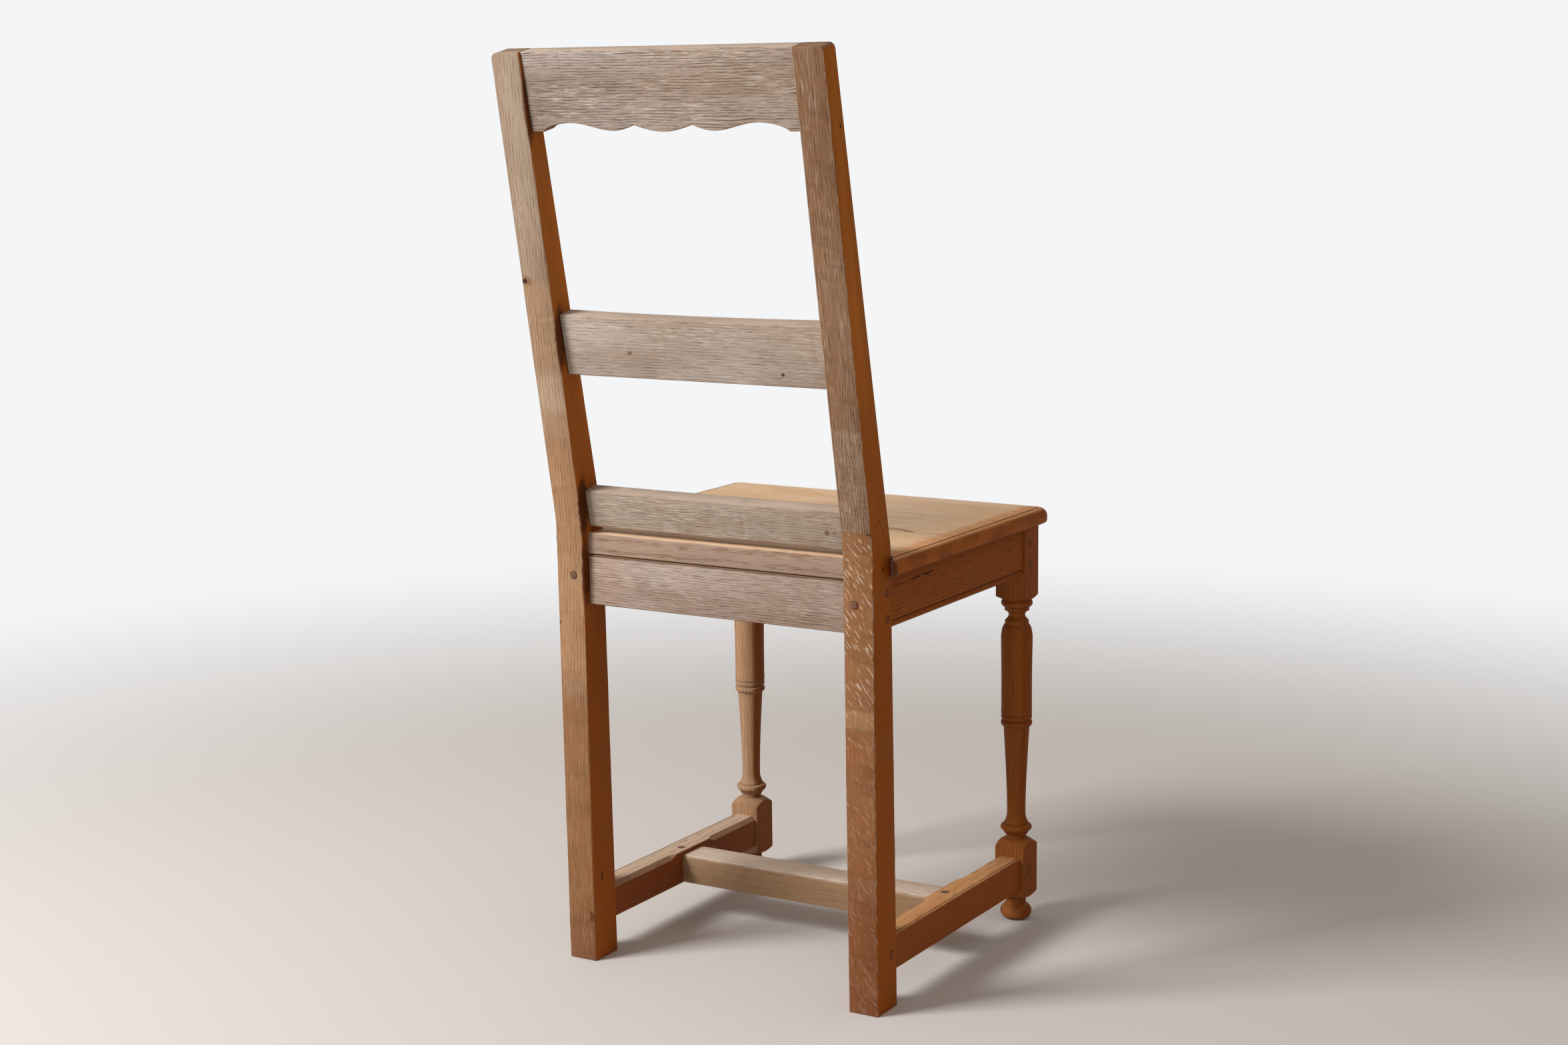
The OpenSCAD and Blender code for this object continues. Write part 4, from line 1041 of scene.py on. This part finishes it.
# The right front leg's colours are darker than the left's: partly its own colour, partly painted shade.
turned_right = oak("oak_turned_right", srgb(154, 88, 32), srgb(134, 72, 24), srgb(84, 44, 18),
                   srgb(180, 104, 44), side_lines=1.0, rows=0.22, row_gap=4.0, wave=3.0,
                   pith=(0.02, 0.03), dashes=0.2, lime=0.02, gloss=0.5, relief=0.4,
                   tones=[(UP, -0.1, 0.094, 0.012, srgb(172, 104, 50), 0.8)],
                   pegs=pegs_near(RIGHT, 0.5))
turned_left = oak("oak_turned_left", srgb(180, 142, 108), srgb(160, 118, 82), srgb(104, 66, 40),
                  srgb(172, 106, 58), side_lines=0.8, rows=0.25, row_gap=4.0, wave=3.0,
                  pith=(0.02, 0.03), dashes=0.25, lime=0.05, gloss=0.5, relief=0.4,
                  pegs=pegs_near(LEFT, 0.5))
for name, side in SIDES.items():
    bm = turned_leg()
    layer = bm.verts.layers.float_vector.new("grain")
    for v in bm.verts:
        v[layer] = Vector((v.co.z, v.co.x, v.co.y)) + GRAIN_STEP * (12.0 + side)
    bmesh.ops.translate(bm, vec=(side * leg_x, leg_y, 0), verts=bm.verts)
    scribe_to_seat(bm)
    make_piece(bm, "turned_leg_" + name, turned_left if side == LEFT else turned_right,
               "front_leg_" + name, sharp=42)

# %% [markdown]
# ## Stretchers
# Two side stretchers and a cross stretcher make an H near the floor. A side stretcher has a small quirk
# and round along its outer top arris, and a chamfer along the inner one that stops short of the cross
# joint. The section is drawn with the chamfer in it, and the slices near the joint have it closed again.

# %% The side stretchers
stretch_low, stretch_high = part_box("side_stretcher_left")
cross_low, cross_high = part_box("cross_stretcher")
STRETCH_W, STRETCH_H, CHAMFER = 28 * MM, 36 * MM, 4.5 * MM
stretch_in = stretch_high.x - STRETCH_W


def stretcher_section():
    """Height and distance in from the outer face."""
    r, groove_w, groove_d = 2.6 * MM, 0.8 * MM, 0.9 * MM
    nose = [(STRETCH_H - r + r * sin(radians(a)), -r + r * cos(radians(a))) for a in range(0, 91, 15)]
    return [(0, -STRETCH_W), (0, 0)] + nose + [
        (STRETCH_H - groove_d, -r - 0.05 * MM), (STRETCH_H - groove_d, -r - groove_w),
        (STRETCH_H, -r - groove_w), (STRETCH_H, -STRETCH_W + CHAMFER), (STRETCH_H - CHAMFER, -STRETCH_W)]


def chamfer_share(y):
    """1 where the chamfer is whole, 0 by the cross joint."""
    stop = (cross_high.y - cross_low.y) / 2 + 13 * MM
    away = abs(y - (cross_high.y + cross_low.y) / 2) - stop
    return max(0.0, min(1.0, away / (9 * MM)))


stretcher_right = oak("oak_stretcher_right", srgb(226, 168, 112), srgb(210, 148, 94), srgb(132, 84, 48),
                      srgb(192, 108, 38), side_lines=0.6, rows=0.25, row_gap=4.0, pith=(0.06, 0.05),
                      dashes=0.4, lime=0.2, gloss=0.56, pegs=pegs_near(RIGHT, 0.2))
stretcher_left = oak("oak_stretcher_left", srgb(214, 186, 162), srgb(200, 168, 138), srgb(140, 104, 76),
                     srgb(170, 92, 40), side_lines=0.6, rows=0.25, row_gap=4.0, pith=(0.06, 0.05),
                     dashes=0.4, lime=0.35, gloss=0.56, pegs=pegs_near(LEFT, 0.2))
for name, side in SIDES.items():
    bm = moulded_bar(stretcher_section(), bend_back - leg_rear, 3 * MM, 0.35 * MM)
    mark_grain(bm, 15.0 + side)
    mark_quirk(bm, STRETCH_H - 1.4 * MM, STRETCH_H - 0.25 * MM, 2.5 * MM)
    for v in bm.verts:
        y = leg_rear + v.co.x
        closed = (1 - chamfer_share(y)) * (CHAMFER - 0.6 * MM)
        from_top, from_inside = STRETCH_H - v.co.y, v.co.z + STRETCH_W
        if from_top < 1 * MM and from_inside < CHAMFER + 1 * MM:
            v.co.z -= closed * min(1.0, (CHAMFER + 1 * MM - from_inside) / (1 * MM))
        elif from_inside < 1 * MM and from_top < CHAMFER + 1 * MM:
            v.co.y += closed * min(1.0, (CHAMFER + 1 * MM - from_top) / (1 * MM))
        v.co = Vector((side * (stretch_high.x + v.co.z), y, stretch_low.z + v.co.y))
    fit_to_rear_leg(bm)
    make_piece(bm, "side_stretcher_bar_" + name, stretcher_left if side == LEFT else stretcher_right,
               "side_stretcher_" + name)

# %% The cross stretcher
cross_w, cross_h = cross_high.y - cross_low.y, cross_high.z - cross_low.z
CROSS_CHAMFER = 3.2 * MM
cross_section = [(0, 0), (cross_w, 0), (cross_w, cross_h - CROSS_CHAMFER),
                 (cross_w - CROSS_CHAMFER, cross_h), (CROSS_CHAMFER, cross_h), (0, cross_h - CROSS_CHAMFER)]
bm = moulded_bar(cross_section, 2 * stretch_in, 5 * MM, 0.7 * MM, min_angle=30)
mark_grain(bm, 18.0)
lie(bm, lambda p: Vector((p.x - stretch_in, cross_low.y + p.y, cross_low.z + p.z)))
cross_oak = oak("oak_cross_stretcher", srgb(224, 204, 186), srgb(206, 180, 156), srgb(150, 118, 92),
                srgb(176, 146, 118), side_way=(0, 1, 0), deepen=0.4, side_lines=1.2, rows=0.3, row_gap=4.0,
                pith=(0.09, 0.03), dashes=0.35, lime=0.35, gloss=0.6)
make_piece(bm, "cross_stretcher_bar", cross_oak, "cross_stretcher")

# %% [markdown]
# ## Pegs
# The joints are held by cleft oak pegs. They were knocked in and cut off almost flush, so what shows is a
# small uneven disc of dark end grain. Each is a short cone with few sides, pushed out of round by noise,
# with its rim broken. Pegs that belong together share one piece, as they share one CAD node.

# %% Cut the pegs
def peg(centre, way, radius, seed, depth=12 * MM):
    """A peg whose end lies at the centre and whose body runs back into the wood."""
    bm = bmesh.new()
    bmesh.ops.create_cone(bm, cap_ends=True, segments=14, radius1=radius, radius2=radius, depth=depth)
    rim = [e for e in bm.edges if all(v.co.z > 0 for v in e.verts)]
    round_off(bm, rim, 0.35 * MM, 2)
    for v in bm.verts:
        angle = Vector((v.co.x, v.co.y, 0)).normalized()
        push = noise.noise(angle * 1.6 + Vector((0, 0, seed * 3.7)))
        v.co.x *= 0.95 + 0.10 * push
        v.co.y *= 0.95 + 0.10 * push
    bmesh.ops.translate(bm, vec=(0, 0, -depth / 2), verts=bm.verts)
    turn = Vector((0, 0, 1)).rotation_difference(way).to_matrix()
    bmesh.ops.rotate(bm, cent=(0, 0, 0), matrix=turn, verts=bm.verts)
    bmesh.ops.translate(bm, vec=centre, verts=bm.verts)
    return bm


def join(parts):
    """One bmesh from several."""
    whole = bmesh.new()
    for part in parts:
        mesh = bpy.data.meshes.new("part")
        part.to_mesh(mesh)
        part.free()
        whole.from_mesh(mesh)
        bpy.data.meshes.remove(mesh)
    return whole


# %% The pegs' finish, and the pegs
peg_f = Finish(bpy.data.materials.new("oak_peg"))
peg_place = peg_f.add("TexCoord", {}).outputs["Object"]
peg_grain = peg_f.noise(peg_place, (1100, 1100, 1100), detail=3.0, rough=0.6)
peg_way = peg_f.facing(peg_f.add("NewGeometry", {}).outputs["Normal"], (1, 0, 0), 0.4, 0.7)
peg_pale = peg_f.mix(peg_way, srgb(132, 98, 74), srgb(146, 76, 28))
peg_dark = peg_f.mix(peg_way, srgb(86, 58, 42), srgb(108, 52, 18))
peg_colour = peg_f.mix(peg_f.ease(peg_grain, 0.36, 0.62), peg_pale, peg_dark)
peg_bump = peg_f.add("Bump", {"Strength": 0.6, "Distance": 0.3 * MM, "Height": peg_grain})
peg_shader = peg_f.add("BsdfPrincipled", {"Base Color": peg_colour, "Roughness": 0.7,
                                          "Normal": peg_bump.outputs[0], "Specular IOR Level": 0.3})
peg_f.add("OutputMaterial", {0: peg_shader.outputs[0]})

PEG_R = 4 * MM
peg_count = 0
for node, ends in PEGS.items():
    parts = []
    for centre, outward in ends:
        peg_count += 1
        parts.append(peg(centre, outward, PEG_R, peg_count))
    make_piece(join(parts), node + "_cut", peg_f.owner, node)
print("pegs:", peg_count)

# %% [markdown]
# ## Studio
# The floor is a plain pale sheet that takes the chair's shadow and fades into a pale background. One large
# lamp stands high behind the chair and to its left, where a window would be, and an even pale sky fills the
# shadows. Together they light a surface at about the level at which its colour was written.

# %% Floor
BACKGROUND = srgb(244, 245, 247)
FADE_FROM, FADE_TO, FLOOR_REACH = 0.75, 2.4, 30.0
floor_f = Finish(bpy.data.materials.new("studio_floor"))
floor_place = floor_f.add("TexCoord", {}).outputs["Object"]
floor_away = floor_f.add("VectorMath", {0: floor_place}, operation="LENGTH").outputs["Value"]
camera_ray = floor_f.add("LightPath", {}).outputs["Is Camera Ray"]
fade = floor_f.times(floor_f.ease(floor_away, FADE_FROM, FADE_TO), camera_ray)
floor_paint = floor_f.add("BsdfDiffuse", {"Color": srgb(222, 217, 213)}).outputs[0]
floor_glow = floor_f.add("Emission", {"Color": BACKGROUND, "Strength": 1.0}).outputs[0]
floor_mix = floor_f.add("MixShader", {0: fade, 1: floor_paint, 2: floor_glow}).outputs[0]
floor_f.add("OutputMaterial", {0: floor_mix})
floor_bm = bmesh.new()
bmesh.ops.create_grid(floor_bm, x_segments=8, y_segments=8, size=FLOOR_REACH)
floor = into_scene(floor_bm, "floor")
floor.data.materials.append(floor_f.owner)

# %% Sky
SKY_STRENGTH = 0.38
world = bpy.data.worlds.new("studio")
bpy.context.scene.world = world
sky = Finish(world)
straight = sky.add("LightPath", {}).outputs["Is Camera Ray"]
light = sky.add("Background", {"Color": srgb(255, 246, 236), "Strength": SKY_STRENGTH}).outputs[0]
seen = sky.add("Background", {"Color": BACKGROUND, "Strength": 1.0}).outputs[0]
sky.add("OutputWorld", {0: sky.add("MixShader", {0: straight, 1: light, 2: seen}).outputs[0]})
print("sky nodes:", len(sky.nodes))

# %% The window lamp
LAMP_SIZE, LAMP_AWAY, LAMP_WATTS = 1.0, 3.0, 84
chair_middle = Vector((0, 0, 0.5))
lamp_way = Vector((0.50, 0.66, 0.56)).normalized()
lamp_data = bpy.data.lights.new("window", "AREA")
lamp_data.shape, lamp_data.size, lamp_data.energy = "SQUARE", LAMP_SIZE, LAMP_WATTS
lamp = bpy.data.objects.new("window", lamp_data)
lamp.location = chair_middle + LAMP_AWAY * lamp_way
lamp.rotation_euler = lamp_way.to_track_quat("Z", "Y").to_euler()
bpy.context.scene.collection.objects.link(lamp)
print("lamp at", [round(c, 2) for c in lamp.location])

# %% [markdown]
# ## Camera
# The camera stands behind the chair on its right, a little under a metre up, and looks slightly down. It
# is turned by three angles: round the upright axis, downwards, and a hair's breadth of roll. Its matrix is
# written from the three directions they give, which is plainer than Euler angles when there is roll.

# %% Set up the camera
yaw, pitch, roll = radians(31.011), radians(9.8), radians(-0.702)
forward = Vector((sin(yaw) * cos(pitch), -cos(yaw) * cos(pitch), -sin(pitch)))
level = forward.cross(Vector((0, 0, 1))).normalized()
upright = level.cross(forward)
right = cos(roll) * level + sin(roll) * upright
up = -sin(roll) * level + cos(roll) * upright
camera_place = Vector((-1.34456, 2.23408, 0.91229))
camera_data = bpy.data.cameras.new("camera")
camera_data.sensor_width = 36.0
camera_data.lens = 58.273
camera = bpy.data.objects.new("camera", camera_data)
turned = Matrix((right, up, -forward)).transposed().to_4x4()
camera.matrix_world = Matrix.Translation(camera_place) @ turned
bpy.context.scene.collection.objects.link(camera)
bpy.context.scene.camera = camera
bpy.context.scene.view_settings.view_transform = "Standard"
print("camera to chair:", round((camera_place - chair_middle).length, 3))
